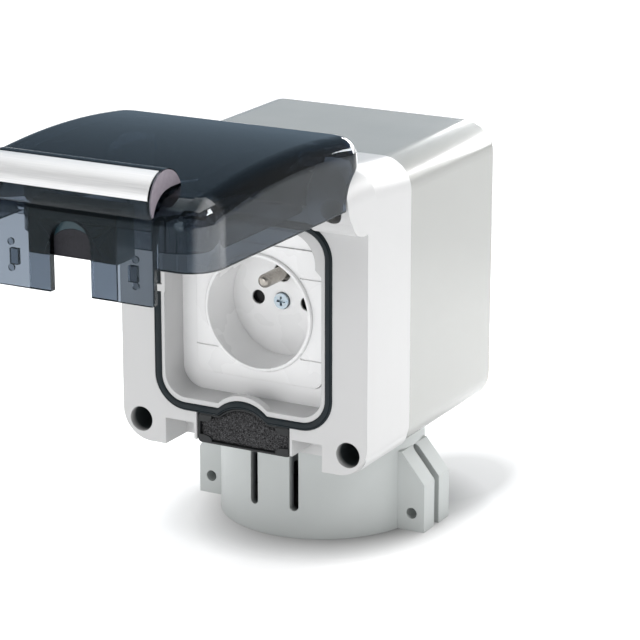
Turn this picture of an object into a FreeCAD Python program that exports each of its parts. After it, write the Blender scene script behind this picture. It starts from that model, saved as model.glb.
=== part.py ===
import FreeCAD, Part
import Sketcher
import math
import os

# Outdoor weatherproof socket with a hinged smoked lid, on a pole collar.
# The frame is at the front, towards -Y, and the lid stands open as it is stored.
# Origin: the pole collar's axis, at the collar's lower edge. Millimetres, +Z up.

doc = FreeCAD.newDocument("WeatherproofSocket")
sheet = doc.addObject("Spreadsheet::Sheet", "Sizes")


# A number that remembers the sheet formula it comes from

class Size:
    def __init__(self, value, text):
        self.value = value
        self.text = text

    def __add__(self, other):
        other = as_size(other)
        return Size(self.value + other.value, f"({self.text} + {other.text})")

    def __sub__(self, other):
        other = as_size(other)
        return Size(self.value - other.value, f"({self.text} - {other.text})")

    def __mul__(self, other):
        other = as_size(other)
        return Size(self.value * other.value, f"({self.text} * {other.text})")

    def __truediv__(self, other):
        other = as_size(other)
        return Size(self.value / other.value, f"({self.text} / {other.text})")

    def __neg__(self):
        return Size(-self.value, f"(0 - {self.text})")

    def __radd__(self, other):
        return as_size(other) + self

    def __rsub__(self, other):
        return as_size(other) - self

    def __rmul__(self, other):
        return as_size(other) * self


def as_size(number):
    if isinstance(number, Size):
        return number
    return Size(float(number), repr(float(number)))


def root(number):
    return Size(math.sqrt(number.value), f"sqrt({number.text})")


def set_size(name, value, note):
    """Writes one driving dimension into the sheet and gives it back as a Size."""
    set_size.row += 1
    sheet.set(f"A{set_size.row}", name)
    sheet.set(f"B{set_size.row}", str(value))
    sheet.set(f"C{set_size.row}", note)
    sheet.setAlias(f"B{set_size.row}", name)
    return Size(float(value), f"Sizes.{name}")


set_size.row = 0

# Driving dimensions: the case

case_width = set_size("case_width", 95, "width of frame and box")
case_height = set_size("case_height", 103, "height of frame and box")
case_corner = set_size("case_corner", 11, "radius of the case's long edges")
case_lift = set_size("case_lift", 35, "collar's lower edge to the case's underside")
frame_reach = set_size("frame_reach", 57, "collar axis to the frame's front face")
frame_depth = set_size("frame_depth", 31, "front face to the joint with the box")
frame_wall = set_size("frame_wall", 3, "front and side walls of the frame")
box_depth = set_size("box_depth", 67, "depth of the rear box")
box_wall = set_size("box_wall", 3, "wall of the rear box")
box_edge = set_size("box_edge", 3, "rounding of the box's back edge")
box_reveal = set_size("box_reveal", 0.4, "step from the frame's side to the box's side")
seal_width = set_size("seal_width", 1.4, "groove for the seal in the box's rim")
seal_depth = set_size("seal_depth", 1.2, "depth of that groove")

# Driving dimensions: the well, its rubber loop and the cable foam

well_width = set_size("well_width", 60.6, "inner width of the well")
well_low = set_size("well_low", 18, "frame's lower edge to the well's floor")
well_height = set_size("well_height", 63.5, "inner height of the well")
well_corner = set_size("well_corner", 8, "corner radius of the well")
well_depth = set_size("well_depth", 12, "front face to the adapter plate")
well_wall = set_size("well_wall", 2.7, "wall round the well")
gasket_width = set_size("gasket_width", 68.8, "outer width of the rubber loop")
gasket_low = set_size("gasket_low", 13.4, "frame's lower edge to the loop")
gasket_height = set_size("gasket_height", 72, "outer height of the rubber loop")
gasket_corner = set_size("gasket_corner", 12, "outer corner radius of the loop")
gasket_band = set_size("gasket_band", 2.8, "width of the rubber band")
groove_depth = set_size("groove_depth", 2.2, "depth of the groove")
gasket_proud = set_size("gasket_proud", 0.6, "rubber in front of the frame's face")
lip_width = set_size("lip_width", 2.3, "lip inside the well's upper corners")
lip_low = set_size("lip_low", 49.4, "well's floor to the lip's lower end")
lip_round = set_size("lip_round", 10.4, "corner radius inside the lip")
lip_thick = set_size("lip_thick", 3, "thickness of the lip")
hook_low = set_size("hook_low", 36.6, "well's floor to the loop's hook")
hook_height = set_size("hook_height", 7, "height of the hook's plate")
hook_depth = set_size("hook_depth", 4, "depth of the hook's plate")
hook_thick = set_size("hook_thick", 0.7, "thickness of the hook's plate")
hook_round = set_size("hook_round", 2, "rounded corner of the hook's plate")
hook_arm = set_size("hook_arm", 2.5, "height of the hook's arm")
hook_reach = set_size("hook_reach", 3.3, "arm from the well's wall over the loop")
arch_half = set_size("arch_half", 9.5, "half span of the arch over the cable")
arch_rise = set_size("arch_rise", 3.8, "rise of the arch over the cable")
seat_half = set_size("seat_half", 18.2, "half width of the foam's seat")
seat_depth = set_size("seat_depth", 12, "depth of the foam's seat")
holder_low = set_size("holder_low", 2.6, "frame's lower edge to the foam holder")
holder_wall = set_size("holder_wall", 1, "rubber wall of the foam holder")
clip_length = set_size("clip_length", 5, "corner clip of the foam holder, along X")
clip_height = set_size("clip_height", 2.2, "corner clip of the foam holder, along Z")
pocket_in = set_size("pocket_in", 19.2, "centre plane to the latch pocket")
pocket_out = set_size("pocket_out", 30.5, "centre plane to the pocket's far side")
pocket_top = set_size("pocket_top", 9.4, "frame's lower edge to the pocket's top")
pocket_depth = set_size("pocket_depth", 13, "depth of the latch pocket")
tab_recess = set_size("tab_recess", 3.6, "height of the recess under the frame")

# Driving dimensions: hinge and lugs

hinge_out = set_size("hinge_out", 1.8, "front face to the hinge axis")
hinge_drop = set_size("hinge_drop", 7.1, "frame's top to the hinge axis")
lug_width = set_size("lug_width", 16.5, "width of a hinge lug")
barrel_out = set_size("barrel_out", 2.4, "hinge axis to the barrel's centre, forwards")
barrel_up = set_size("barrel_up", 0.9, "hinge axis to the barrel's centre, upwards")
barrel_round = set_size("barrel_round", 9.6, "radius of the lug's barrel")
lobe_out = set_size("lobe_out", 0.9, "hinge axis to the lower lobe's centre, forwards")
lobe_down = set_size("lobe_down", 2.9, "hinge axis to the lower lobe's centre")
lobe_round = set_size("lobe_round", 8.7, "radius of the lug's lower lobe")
knuckle_round = set_size("knuckle_round", 4.2, "radius of the lid's hinge bar")
pin_round = set_size("pin_round", 1.5, "radius of a hinge pin")
pin_length = set_size("pin_length", 9, "length of a hinge pin")
running_gap = set_size("running_gap", 0.05, "clearance all round a pin or shaft")
side_gap = set_size("side_gap", 0.4, "clearance beside a moving piece")

# Driving dimensions: the lid, measured as it stands open

lid_inset = set_size("lid_inset", 0.5, "case's side to the lid's side")
lid_overhang = set_size("lid_overhang", 4.1, "shut lid's free wall below the case's underside")
lid_tail = set_size("lid_tail", 2.8, "hinge axis to the lid's hinge end")
lid_corner = set_size("lid_corner", 10.5, "radius of the lid's upright corners")
lid_edge = set_size("lid_edge", 7, "radius between top and sides")
lid_wall = set_size("lid_wall", 2.4, "wall of the lid")
lid_skirt = set_size("lid_skirt", 21.5, "rim to the dome's ends")
rim_drop = set_size("rim_drop", 0.9, "hinge axis to the lid's rim")
dome_radius = set_size("dome_radius", 300, "radius of the domed top")
brow_height = set_size("brow_height", 13.5, "rim to the start of the free edge's roll")
brow_depth = set_size("brow_depth", 8.5, "depth of the free edge's roll")
brow_round = set_size("brow_round", 9.5, "radius of that roll")
tab_half = set_size("tab_half", 29.5, "half width of the latch tab")
tab_drop = set_size("tab_drop", 11.7, "rim to the latch tab's end")
notch_half = set_size("notch_half", 7.3, "half width of the cable notch")
notch_rise = set_size("notch_rise", 3.9, "rim to the centre of the notch's arch")
tab_step = set_size("tab_step", 0.8, "the wall is thinner beside the cable guard")
rib_wall = set_size("rib_wall", 1.6, "rib that presses on the rubber loop")
grip_half = set_size("grip_half", 29.3, "half width of the grip")
grip_round = set_size("grip_round", 9, "radius of the grip")
grip_in = set_size("grip_in", 7.5, "lid's free wall to the grip's centre")
grip_up = set_size("grip_up", 20, "rim to the grip's centre")
strip_half = set_size("strip_half", 28.4, "half width of the strip on the grip")
strip_thick = set_size("strip_thick", 1.2, "thickness of the strip")
strip_rise = set_size("strip_rise", 1, "grip's centre up to the strip's lower edge")
strip_stop = set_size("strip_stop", 2.1, "strip's upper edge in front of the grip's centre")
strip_gap = set_size("strip_gap", 0.1, "clearance round the strip")
guard_half = set_size("guard_half", 15.6, "half width of the cable guard")
guard_depth = set_size("guard_depth", 9.6, "depth of the cable guard")
guard_height = set_size("guard_height", 16.3, "height of the cable guard")
guard_slope = set_size("guard_slope", 2.5, "slope along the guard's upper front edge")
guard_arch = set_size("guard_arch", 10.4, "half span of the arch in the guard")
guard_round = set_size("guard_round", 10.5, "radius of that arch")
flap_thick = set_size("flap_thick", 1.2, "thickness of the cable flap")

# Driving dimensions: the mechanism

insert_up = set_size("insert_up", 48.4, "frame's lower edge to the recess's centre")
plate_thick = set_size("plate_thick", 3, "thickness of the adapter plate")
cover_width = set_size("cover_width", 49, "width of the socket cover")
cover_height = set_size("cover_height", 47.8, "height of the socket cover")
cover_corner = set_size("cover_corner", 4, "corner radius of the socket cover")
cover_proud = set_size("cover_proud", 0.5, "cover in front of the adapter plate")
cover_gap = set_size("cover_gap", 0.15, "clearance round the cover")
recess_round = set_size("recess_round", 19.5, "radius of the plug recess")
recess_wall = set_size("recess_wall", 1.3, "wall round the plug recess")
recess_depth = set_size("recess_depth", 17.5, "depth of the plug recess")
rim_proud = set_size("rim_proud", 1, "ring in front of the cover")
floor_thick = set_size("floor_thick", 2.5, "floor of the plug recess")
seam_pitch = set_size("seam_pitch", 28.3, "between the cover's two seams")
seam_width = set_size("seam_width", 0.5, "width of a seam")
pin_pitch = set_size("pin_pitch", 19, "between live and neutral")
pin_hole = set_size("pin_hole", 2.5, "radius of a pin hole")
earth_up = set_size("earth_up", 10, "recess's centre to the earth pin")
earth_round = set_size("earth_round", 2.4, "radius of the earth pin")
earth_reach = set_size("earth_reach", 14, "earth pin in front of the recess's floor")
earth_hole = set_size("earth_hole", 3.3, "radius of the hole round the earth pin")
base_width = set_size("base_width", 47, "width of the mechanism's rear body")
base_height = set_size("base_height", 45, "height of the mechanism's rear body")
base_depth = set_size("base_depth", 19.5, "rear body behind the recess's floor")
flange_half = set_size("flange_half", 29.4, "half width of the rear body's flange")
flange_thick = set_size("flange_thick", 2, "thickness of that flange")
sleeve_round = set_size("sleeve_round", 3.4, "outer radius of a contact sleeve")
sleeve_length = set_size("sleeve_length", 14, "length of a contact sleeve")
shutter_half = set_size("shutter_half", 14, "half width of the shutter")
shutter_low = set_size("shutter_low", 9.5, "shutter below the recess's centre")
shutter_high = set_size("shutter_high", 3.2, "shutter above the recess's centre")
shutter_thick = set_size("shutter_thick", 1.6, "thickness of the shutter")
shutter_travel = set_size("shutter_travel", 6, "travel of the shutter")

# Driving dimensions: collar, screws and grommet

collar_round = set_size("collar_round", 36.5, "outer radius of the collar")
bore_round = set_size("bore_round", 33.3, "radius of the pole bore")
web_thick = set_size("web_thick", 8, "collar's top under the case")
ear_length = set_size("ear_length", 9, "ear beyond the collar's ring")
ear_thick = set_size("ear_thick", 8, "thickness of one ear")
ear_shoulder = set_size("ear_shoulder", 17.5, "height where the ear starts to slope")
ear_top = set_size("ear_top", 28.5, "height where the slope meets the collar")
ear_hole = set_size("ear_hole", 2, "radius of an ear's screw hole")
ear_hole_out = set_size("ear_hole_out", 40.6, "collar axis to an ear's hole")
ear_hole_up = set_size("ear_hole_up", 6.5, "height of an ear's hole")
slit_gap = set_size("slit_gap", 3.6, "slit between two ears")
slot_width = set_size("slot_width", 3.2, "front slot of the collar")
slot_low = set_size("slot_low", 10, "height of a front slot's rounded end")
slot_turn = set_size("slot_turn", 12.5, "angle of a front slot from the front")
cable_round = set_size("cable_round", 12, "radius of the cable hole")
grommet_wall = set_size("grommet_wall", 1.5, "rubber wall of the grommet")
corner_in = set_size("corner_in", 7.2, "case's side to a corner screw")
corner_low = set_size("corner_low", 7.5, "case's underside to a lower corner screw")
corner_high = set_size("corner_high", 9, "case's top to an upper corner screw")
head_well = set_size("head_well", 4.4, "radius of a corner screw's well")
head_well_depth = set_size("head_well_depth", 24, "depth of that well")
post_round = set_size("post_round", 5.2, "radius of a screw post in the box")
post_length = set_size("post_length", 14, "length of a screw post in the box")
cover_screw = set_size("cover_screw", 1.5, "shank radius of a corner screw")
cover_head = set_size("cover_head", 3.2, "head radius of a corner screw")
cover_length = set_size("cover_length", 16, "shank length of a corner screw")
small_screw = set_size("small_screw", 1.25, "shank radius of a mechanism screw")
small_head = set_size("small_head", 2.4, "head radius of a mechanism screw")
small_length = set_size("small_length", 7, "shank length of a mechanism screw")
collar_screw = set_size("collar_screw", 1.7, "shank radius of a collar screw")
collar_head = set_size("collar_head", 3.4, "head radius of a collar screw")
collar_length = set_size("collar_length", 9, "shank length of a collar screw")
collar_pitch = set_size("collar_pitch", 35, "between collar screws, along X and Y")
head_thick = set_size("head_thick", 2.2, "height of a screw head")
cross_width = set_size("cross_width", 0.9, "width of a cross recess")
cross_depth = set_size("cross_depth", 1.2, "depth of a cross recess")

doc.recompute()

# Places that the sizes give

half = case_width / 2
front = -frame_reach
joint = front + frame_depth
back = joint + box_depth
base = case_lift
top = base + case_height
hinge_y = front - hinge_out
hinge_z = top - hinge_drop
rim = hinge_z - rim_drop
lug_in = half - lug_width
lid_width = case_width - lid_inset * 2
lid_reach = case_height - hinge_drop + lid_overhang
lid_front = hinge_y - lid_reach
lid_back = hinge_y + lid_tail
lid_half = lid_width / 2
swing = root(barrel_out * barrel_out + barrel_up * barrel_up) + barrel_round + side_gap
plate_front = front + well_depth
insert_z = base + insert_up
cover_front = plate_front - cover_proud
recess_front = cover_front - rim_proud
floor_front = recess_front + recess_depth
floor_back = floor_front + floor_thick
arch_radius = (arch_half * arch_half + arch_rise * arch_rise) / (2 * arch_rise)
screw_x = half - corner_in
screw_low = base + corner_low
screw_high = top - corner_high
well_z = base + well_low
gasket_z = base + gasket_low
ear_reach = collar_round + ear_length
SIDES = (-1, 1)


# Sketches and features

ROLES = {"front": "XZ_Plane", "side": "YZ_Plane", "top": "XY_Plane"}
NORMALS = {"front": -1, "side": 1, "top": 1}


def new_body(label):
    body = doc.addObject("PartDesign::Body", label)
    body.Label = label
    return body


def new_sketch(body, face, at=0):
    """A sketch on one of the body's own planes, moved along the plane's axis to 'at'."""
    sketch = body.newObject("Sketcher::SketchObject", "Sketch")
    plane = [f for f in body.Origin.OriginFeatures if f.Role == ROLES[face]][0]
    sketch.AttachmentSupport = (plane, [""])
    sketch.MapMode = "FlatFace"
    offset = as_size(at) * NORMALS[face]
    sketch.setExpression("AttachmentOffset.Base.z", offset.text)
    sketch.Label2 = face
    return sketch


def pin_down(sketch, kind, size, *places):
    """Adds one dimension to the sketch and binds it to its formula."""
    number = sketch.addConstraint(Sketcher.Constraint(kind, *places, size.value))
    name = f"d{number}"
    sketch.renameConstraint(number, name)
    sketch.setExpression(f"Constraints.{name}", size.text)


def outline(sketch, *points):
    """A closed outline. A point is (x, y), or (x, y, r) where an arc of radius r leads to it:
    r above 0 turns left and r below 0 turns right."""
    points = [tuple(as_size(number) for number in point) for point in points]
    first = sketch.GeometryCount
    ends = []
    for index, point in enumerate(points):
        before = points[index - 1]
        a = FreeCAD.Vector(before[0].value, before[1].value, 0)
        b = FreeCAD.Vector(point[0].value, point[1].value, 0)
        if len(point) == 2:
            sketch.addGeometry(Part.LineSegment(a, b))
            ends.append((1, 2))
            continue
        turn = 1 if point[2].value > 0 else -1
        radius = abs(point[2].value)
        chord = b - a
        rise = math.sqrt(max(radius ** 2 - (chord.Length / 2) ** 2, 0))
        left = FreeCAD.Vector(-chord.y, chord.x, 0).normalize()
        centre = (a + b) * 0.5 + left * rise * turn
        start, end = (a, b) if turn > 0 else (b, a)
        angles = [math.atan2(v.y - centre.y, v.x - centre.x) for v in (start, end)]
        circle = Part.Circle(centre, FreeCAD.Vector(0, 0, 1), radius)
        number = sketch.addGeometry(Part.ArcOfCircle(circle, *angles))
        ends.append((1, 2) if turn > 0 else (2, 1))
        pin_down(sketch, "Radius", point[2] * turn, number)
    for index, point in enumerate(points):
        here = first + index
        following = first + (index + 1) % len(points)
        here_end = ends[index][1]
        next_start = ends[(index + 1) % len(points)][0]
        sketch.addConstraint(Sketcher.Constraint("Coincident", here, here_end, following, next_start))
        pin_down(sketch, "DistanceX", point[0], -1, 1, here, here_end)
        pin_down(sketch, "DistanceY", point[1], -1, 1, here, here_end)


def rectangle(sketch, x0, x1, y0, y1):
    outline(sketch, (x0, y0), (x1, y0), (x1, y1), (x0, y1))


def rounded(sketch, x0, x1, y0, y1, radius):
    outline(sketch,
            (x1 - radius, y0), (x1, y0 + radius, radius), (x1, y1 - radius),
            (x1 - radius, y1, radius), (x0 + radius, y1), (x0, y1 - radius, radius),
            (x0, y0 + radius), (x0 + radius, y0, radius))


def arched(sketch, wide, low, high, radius):
    """A rounded rectangle about x = 0 whose lower side rises in an arch over the cable."""
    outline(sketch,
            (-arch_half, low), (arch_half, low, -arch_radius), (wide - radius, low),
            (wide, low + radius, radius), (wide, high - radius),
            (wide - radius, high, radius), (radius - wide, high),
            (-wide, high - radius, radius), (-wide, low + radius),
            (radius - wide, low, radius))


def round_hole(sketch, x, y, radius):
    x, y, radius = as_size(x), as_size(y), as_size(radius)
    centre = FreeCAD.Vector(x.value, y.value, 0)
    number = sketch.addGeometry(Part.Circle(centre, FreeCAD.Vector(0, 0, 1), radius.value))
    pin_down(sketch, "Radius", radius, number)
    pin_down(sketch, "DistanceX", x, -1, 1, number, 3)
    pin_down(sketch, "DistanceY", y, -1, 1, number, 3)


def extrude(kind, body, sketch, length, way):
    """Pads or pockets a sketch. way is 1 or -1 along the axis, or 0 for both ways from the plane."""
    before = body.Tip.Shape.Volume if body.Tip else 0.0
    feature = body.newObject(f"PartDesign::{kind}", kind)
    feature.Profile = sketch
    forward = NORMALS[sketch.Label2] * (1 if kind == "Pad" else -1)
    if way == 0:
        feature.SideType = "Symmetric"
    else:
        feature.Reversed = way != forward
    feature.setExpression("Length", as_size(length).text)
    doc.recompute()
    if "Invalid" in sketch.State or feature.Shape.isNull():
        raise RuntimeError(f"{body.Label}: {kind} has no shape, sketch {sketch.State}")
    change = feature.Shape.Volume - before
    wanted = change > 0 if kind == "Pad" else change < 0
    if not wanted:
        raise RuntimeError(f"{body.Label}: {kind} changed the volume by {change}")
    return feature


def pad(body, sketch, length, way):
    return extrude("Pad", body, sketch, length, way)


def pocket(body, sketch, length, way):
    return extrude("Pocket", body, sketch, length, way)


def revolve(body, sketch, axis):
    """Turns a sketch a full turn about its own 'H_Axis' or 'V_Axis'."""
    feature = body.newObject("PartDesign::Revolution", "Revolution")
    feature.Profile = sketch
    feature.ReferenceAxis = (sketch, [axis])
    feature.Angle = 360
    doc.recompute()
    return feature


def edge_names(shape, test):
    return [f"Edge{number + 1}" for number, edge in enumerate(shape.Edges) if test(edge)]


def soften(body, kind, size, test):
    """A fillet or chamfer on the edges that the test picks."""
    names = edge_names(body.Tip.Shape, test)
    if not names:
        raise RuntimeError(f"{body.Label}: no edge to soften")
    base_feature = body.Tip
    feature = body.newObject(f"PartDesign::{kind}", kind)
    feature.Base = (base_feature, names)
    feature.setExpression("Radius" if kind == "Fillet" else "Size", as_size(size).text)
    doc.recompute()
    return feature


def near(number, size, slack=0.02):
    return abs(number - as_size(size).value) < slack


def all_at(edge, axis, size):
    """True where every point of an edge lies at one coordinate."""
    box = edge.BoundBox
    low, high = {"x": (box.XMin, box.XMax), "y": (box.YMin, box.YMax), "z": (box.ZMin, box.ZMax)}[axis]
    return near(low, size) and near(high, size)


# Rear box: one deep moulding, open at the front, with posts for the corner screws

box_half = half - box_reveal
box_low = base
box_high = top - box_reveal
rear_box = new_body("rear_box")
sketch = new_sketch(rear_box, "front", joint)
rounded(sketch, -box_half, box_half, box_low, box_high, case_corner)
pad(rear_box, sketch, box_depth, 1)
soften(rear_box, "Fillet", box_edge, lambda edge: all_at(edge, "y", back))
sketch = new_sketch(rear_box, "front", joint)
rounded(sketch, box_wall - box_half, box_half - box_wall,
        box_low + box_wall, box_high - box_wall, case_corner - box_wall)
pocket(rear_box, sketch, box_depth - box_wall, 1)
sketch = new_sketch(rear_box, "front", joint)
for side in SIDES:
    round_hole(sketch, screw_x * side, screw_low, post_round)
    round_hole(sketch, screw_x * side, screw_high, post_round)
pad(rear_box, sketch, post_length, 1)
sketch = new_sketch(rear_box, "front", joint)
for side in SIDES:
    round_hole(sketch, screw_x * side, screw_low, cover_screw + running_gap)
    round_hole(sketch, screw_x * side, screw_high, cover_screw + running_gap)
pocket(rear_box, sketch, post_length - 2, 1)
seal_in = (box_wall - seal_width) / 2
sketch = new_sketch(rear_box, "front", joint)
rounded(sketch, seal_in - box_half, box_half - seal_in, box_low + seal_in, box_high - seal_in,
        case_corner - seal_in)
seal_far = seal_in + seal_width
rounded(sketch, seal_far - box_half, box_half - seal_far, box_low + seal_far, box_high - seal_far,
        case_corner - seal_far)
pocket(rear_box, sketch, seal_depth, 1)
sketch = new_sketch(rear_box, "top", base)
round_hole(sketch, 0, 0, cable_round)
for side in SIDES:
    for end in SIDES:
        round_hole(sketch, collar_pitch / 2 * side, collar_pitch / 2 * end, collar_screw + 0.2)
pocket(rear_box, sketch, box_wall, 1)

# Seal between frame and box: a flat rubber ring in the box's rim

box_gasket = new_body("box_gasket")
sketch = new_sketch(box_gasket, "front", joint)
rounded(sketch, seal_in - box_half, box_half - seal_in, box_low + seal_in, box_high - seal_in,
        case_corner - seal_in)
rounded(sketch, seal_far - box_half, box_half - seal_far, box_low + seal_far, box_high - seal_far,
        case_corner - seal_far)
pad(box_gasket, sketch, seal_depth, 1)

# Front frame: outer wall and front, then lugs, well, seat and pockets

front_frame = new_body("front_frame")
sketch = new_sketch(front_frame, "front", front)
rounded(sketch, -half, half, base, top, case_corner)
pad(front_frame, sketch, frame_depth, 1)
sketch = new_sketch(front_frame, "front", joint)
rounded(sketch, frame_wall - half, half - frame_wall, base + frame_wall, top - frame_wall,
        case_corner - frame_wall)
pocket(front_frame, sketch, frame_depth - frame_wall, -1)

# The block round the well, closed behind the hinge recess, and the bosses of the corner screws
block_half = well_width / 2 + well_wall
block_top = well_z + well_height + 6.5
hinge_floor = hinge_z - knuckle_round - side_gap - 1
sketch = new_sketch(front_frame, "front", front + frame_wall)
rounded(sketch, -block_half, block_half, base + frame_wall, block_top, well_corner)
pad(front_frame, sketch, well_depth - frame_wall, 1)
sketch = new_sketch(front_frame, "front", front + frame_wall)
rectangle(sketch, -block_half, block_half, base + 1, base + pocket_top + 0.6)
pad(front_frame, sketch, pocket_depth + 2.5 - frame_wall, 1)
recess_back = hinge_y + knuckle_round + side_gap
sketch = new_sketch(front_frame, "front", front + frame_wall)
rectangle(sketch, -lug_in - 3, lug_in + 3, hinge_floor - 2, top - 1)
pad(front_frame, sketch, recess_back + 2.5 - (front + frame_wall), 1)
sketch = new_sketch(front_frame, "front", front + 1)
for side in SIDES:
    round_hole(sketch, screw_x * side, screw_low, head_well + 2)
    round_hole(sketch, screw_x * side, screw_high, head_well + 2)
pad(front_frame, sketch, frame_depth - 1, 1)

# Hinge lugs: a barrel over a lower lobe, rounded off at the side
lug_top = hinge_z + barrel_up + barrel_round
lobe_y = hinge_y - lobe_out
lobe_z = hinge_z - lobe_down - lobe_round
for side in SIDES:
    lug_middle = (lug_in + half) / 2 * side
    for reach, lift, radius in ((barrel_out, barrel_up, barrel_round),
                                (lobe_out, -lobe_down, lobe_round)):
        sketch = new_sketch(front_frame, "side", lug_middle)
        round_hole(sketch, hinge_y - reach, hinge_z + lift, radius)
        pad(front_frame, sketch, half - lug_in, 0)
    sketch = new_sketch(front_frame, "side", lug_middle)
    outline(sketch, (lobe_y, lobe_z), (front + 1, lobe_z), (front + 1, hinge_z), (lobe_y, hinge_z))
    pad(front_frame, sketch, half - lug_in, 0)
    inner = (half - case_corner) * side
    sketch = new_sketch(front_frame, "front", hinge_y + barrel_round)
    outline(sketch, (inner, lug_top, case_corner * side), (inner, lug_top + 2),
            ((half + 2) * side, lug_top + 2), ((half + 2) * side, lug_top - case_corner),
            (half * side, lug_top - case_corner))
    pocket(front_frame, sketch, barrel_round * 3, -1)

# Each lug's top slopes back to the box's top
slope_low = top - case_corner - 2
for side in SIDES:
    sections = []
    for place, height in ((hinge_y - barrel_out, lug_top), (joint, top)):
        sketch = new_sketch(front_frame, "front", place)
        outline(sketch, (lug_in * side, slope_low), (half * side, slope_low),
                (half * side, height - case_corner),
                ((half - case_corner) * side, height, case_corner * side),
                (lug_in * side, height))
        sections.append(sketch)
    slope = front_frame.newObject("PartDesign::AdditiveLoft", "Loft")
    slope.Profile = sections[0]
    slope.Sections = [sections[1]]
    slope.Ruled = True
    doc.recompute()

# Hinge recess between the lugs
sketch = new_sketch(front_frame, "front", recess_back)
rectangle(sketch, -lug_in, lug_in, hinge_floor, top + 10)
pocket(front_frame, sketch, barrel_round * 4, -1)

# The well, with its arched lip in front
sketch = new_sketch(front_frame, "front", front)
arched(sketch, well_width / 2, well_z, well_z + well_height, well_corner)
pocket(front_frame, sketch, frame_wall, 1)
sketch = new_sketch(front_frame, "front", front + frame_wall)
rounded(sketch, -well_width / 2, well_width / 2, well_z, well_z + well_height, well_corner)
pocket(front_frame, sketch, frame_depth, 1)

# Lip inside the well's upper corners, level with the front face
well_half = well_width / 2
well_top = well_z + well_height
lip_z = well_z + lip_low
lip_x = well_half - lip_width
sketch = new_sketch(front_frame, "front", front)
for side in SIDES:
    outline(sketch, ((well_half + 0.5) * side, lip_z - 0.5), (lip_x * side, lip_z + lip_width),
            (lip_x * side, well_top - lip_round),
            ((lip_x - lip_round) * side, well_top, lip_round * side),
            ((lip_x - lip_round) * side, well_top + 0.5), ((well_half + 0.5) * side, well_top + 0.5))
pad(front_frame, sketch, lip_thick, 1)

# Groove for the rubber loop
gasket_half = gasket_width / 2
gasket_top = gasket_z + gasket_height
sketch = new_sketch(front_frame, "front", front)
arched(sketch, gasket_half, gasket_z, gasket_top, gasket_corner)
arched(sketch, gasket_half - gasket_band, gasket_z + gasket_band, gasket_top - gasket_band,
       gasket_corner - gasket_band)
pocket(front_frame, sketch, groove_depth, 1)

# Hook at the left: a plate on the well's wall with an arm over the inner half of the loop
hook_z = well_z + hook_low
sketch = new_sketch(front_frame, "side", -well_half - 0.5)
outline(sketch, (front - gasket_proud, hook_z), (front + hook_depth - hook_round, hook_z),
        (front + hook_depth, hook_z + hook_round, hook_round),
        (front + hook_depth, hook_z + hook_height), (front - gasket_proud, hook_z + hook_height))
pad(front_frame, sketch, hook_thick + 0.5, 1)
sketch = new_sketch(front_frame, "front", front - gasket_proud)
rectangle(sketch, -well_half - hook_reach, -well_half, hook_z, hook_z + hook_arm)
pad(front_frame, sketch, gasket_proud + groove_depth, 1)

# Seat of the foam holder, latch pockets and the recess for the lid's tab
seat_low = base - 1
sketch = new_sketch(front_frame, "front", front)
outline(sketch, (-seat_half, seat_low), (seat_half, seat_low), (seat_half, gasket_z),
        (arch_half, gasket_z), (-arch_half, gasket_z, arch_radius), (-seat_half, gasket_z))
pocket(front_frame, sketch, seat_depth, 1)
for side in SIDES:
    sketch = new_sketch(front_frame, "side", (pocket_in + pocket_out) / 2 * side)
    outline(sketch, (front - 1, base - 1), (front + pocket_depth - 2, base - 1),
            (front + pocket_depth, base + 3), (front + pocket_depth, base + pocket_top - 2.6),
            (front + pocket_depth - 2.5, base + pocket_top), (front - 1, base + pocket_top))
    pocket(front_frame, sketch, pocket_out - pocket_in, 0)
sketch = new_sketch(front_frame, "front", front)
rectangle(sketch, -pocket_out, pocket_out, base - 1, base + tab_recess)
pocket(front_frame, sketch, pocket_depth + 1, 1)

# Corner wells with through holes, and the blind bores of the hinge pins
sketch = new_sketch(front_frame, "front", front + head_well_depth)
for side in SIDES:
    round_hole(sketch, screw_x * side, screw_low, head_well)
    round_hole(sketch, screw_x * side, screw_high, head_well)
pocket(front_frame, sketch, head_well_depth + barrel_round * 3, -1)
sketch = new_sketch(front_frame, "front", joint)
for side in SIDES:
    round_hole(sketch, screw_x * side, screw_low, cover_screw + 0.3)
    round_hole(sketch, screw_x * side, screw_high, cover_screw + 0.3)
pocket(front_frame, sketch, frame_depth, -1)
pin_bite = (pin_length - side_gap) / 2
for side in SIDES:
    sketch = new_sketch(front_frame, "side", lug_in * side)
    round_hole(sketch, hinge_y, hinge_z, pin_round + running_gap)
    pocket(front_frame, sketch, pin_bite, side)

# Blind holes for the screws of the adapter plate
plate_screw_x = well_half - 5.3
plate_screw_low = base + (pocket_top + well_low) / 2
plate_screw_high = well_z + well_height + 3.2
sketch = new_sketch(front_frame, "front", plate_front)
for side in SIDES:
    round_hole(sketch, plate_screw_x * side, plate_screw_low, small_screw + running_gap)
    round_hole(sketch, plate_screw_x * side, plate_screw_high, small_screw + running_gap)
pocket(front_frame, sketch, small_length - plate_thick + 0.5, -1)

# Rubber loop in the frame's groove

lid_gasket = new_body("lid_gasket")
sketch = new_sketch(lid_gasket, "front", front + groove_depth)
arched(sketch, gasket_half, gasket_z, gasket_top, gasket_corner)
arched(sketch, gasket_half - gasket_band, gasket_z + gasket_band, gasket_top - gasket_band,
       gasket_corner - gasket_band)
pad(lid_gasket, sketch, groove_depth + gasket_proud, -1)
sketch = new_sketch(lid_gasket, "front", front + groove_depth)
rectangle(sketch, -well_half - hook_reach - running_gap, -well_half,
          hook_z - running_gap, hook_z + hook_arm + running_gap)
pocket(lid_gasket, sketch, groove_depth + gasket_proud, -1)

# Foam holder: a rubber tray with a clip over each corner of the foam

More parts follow.
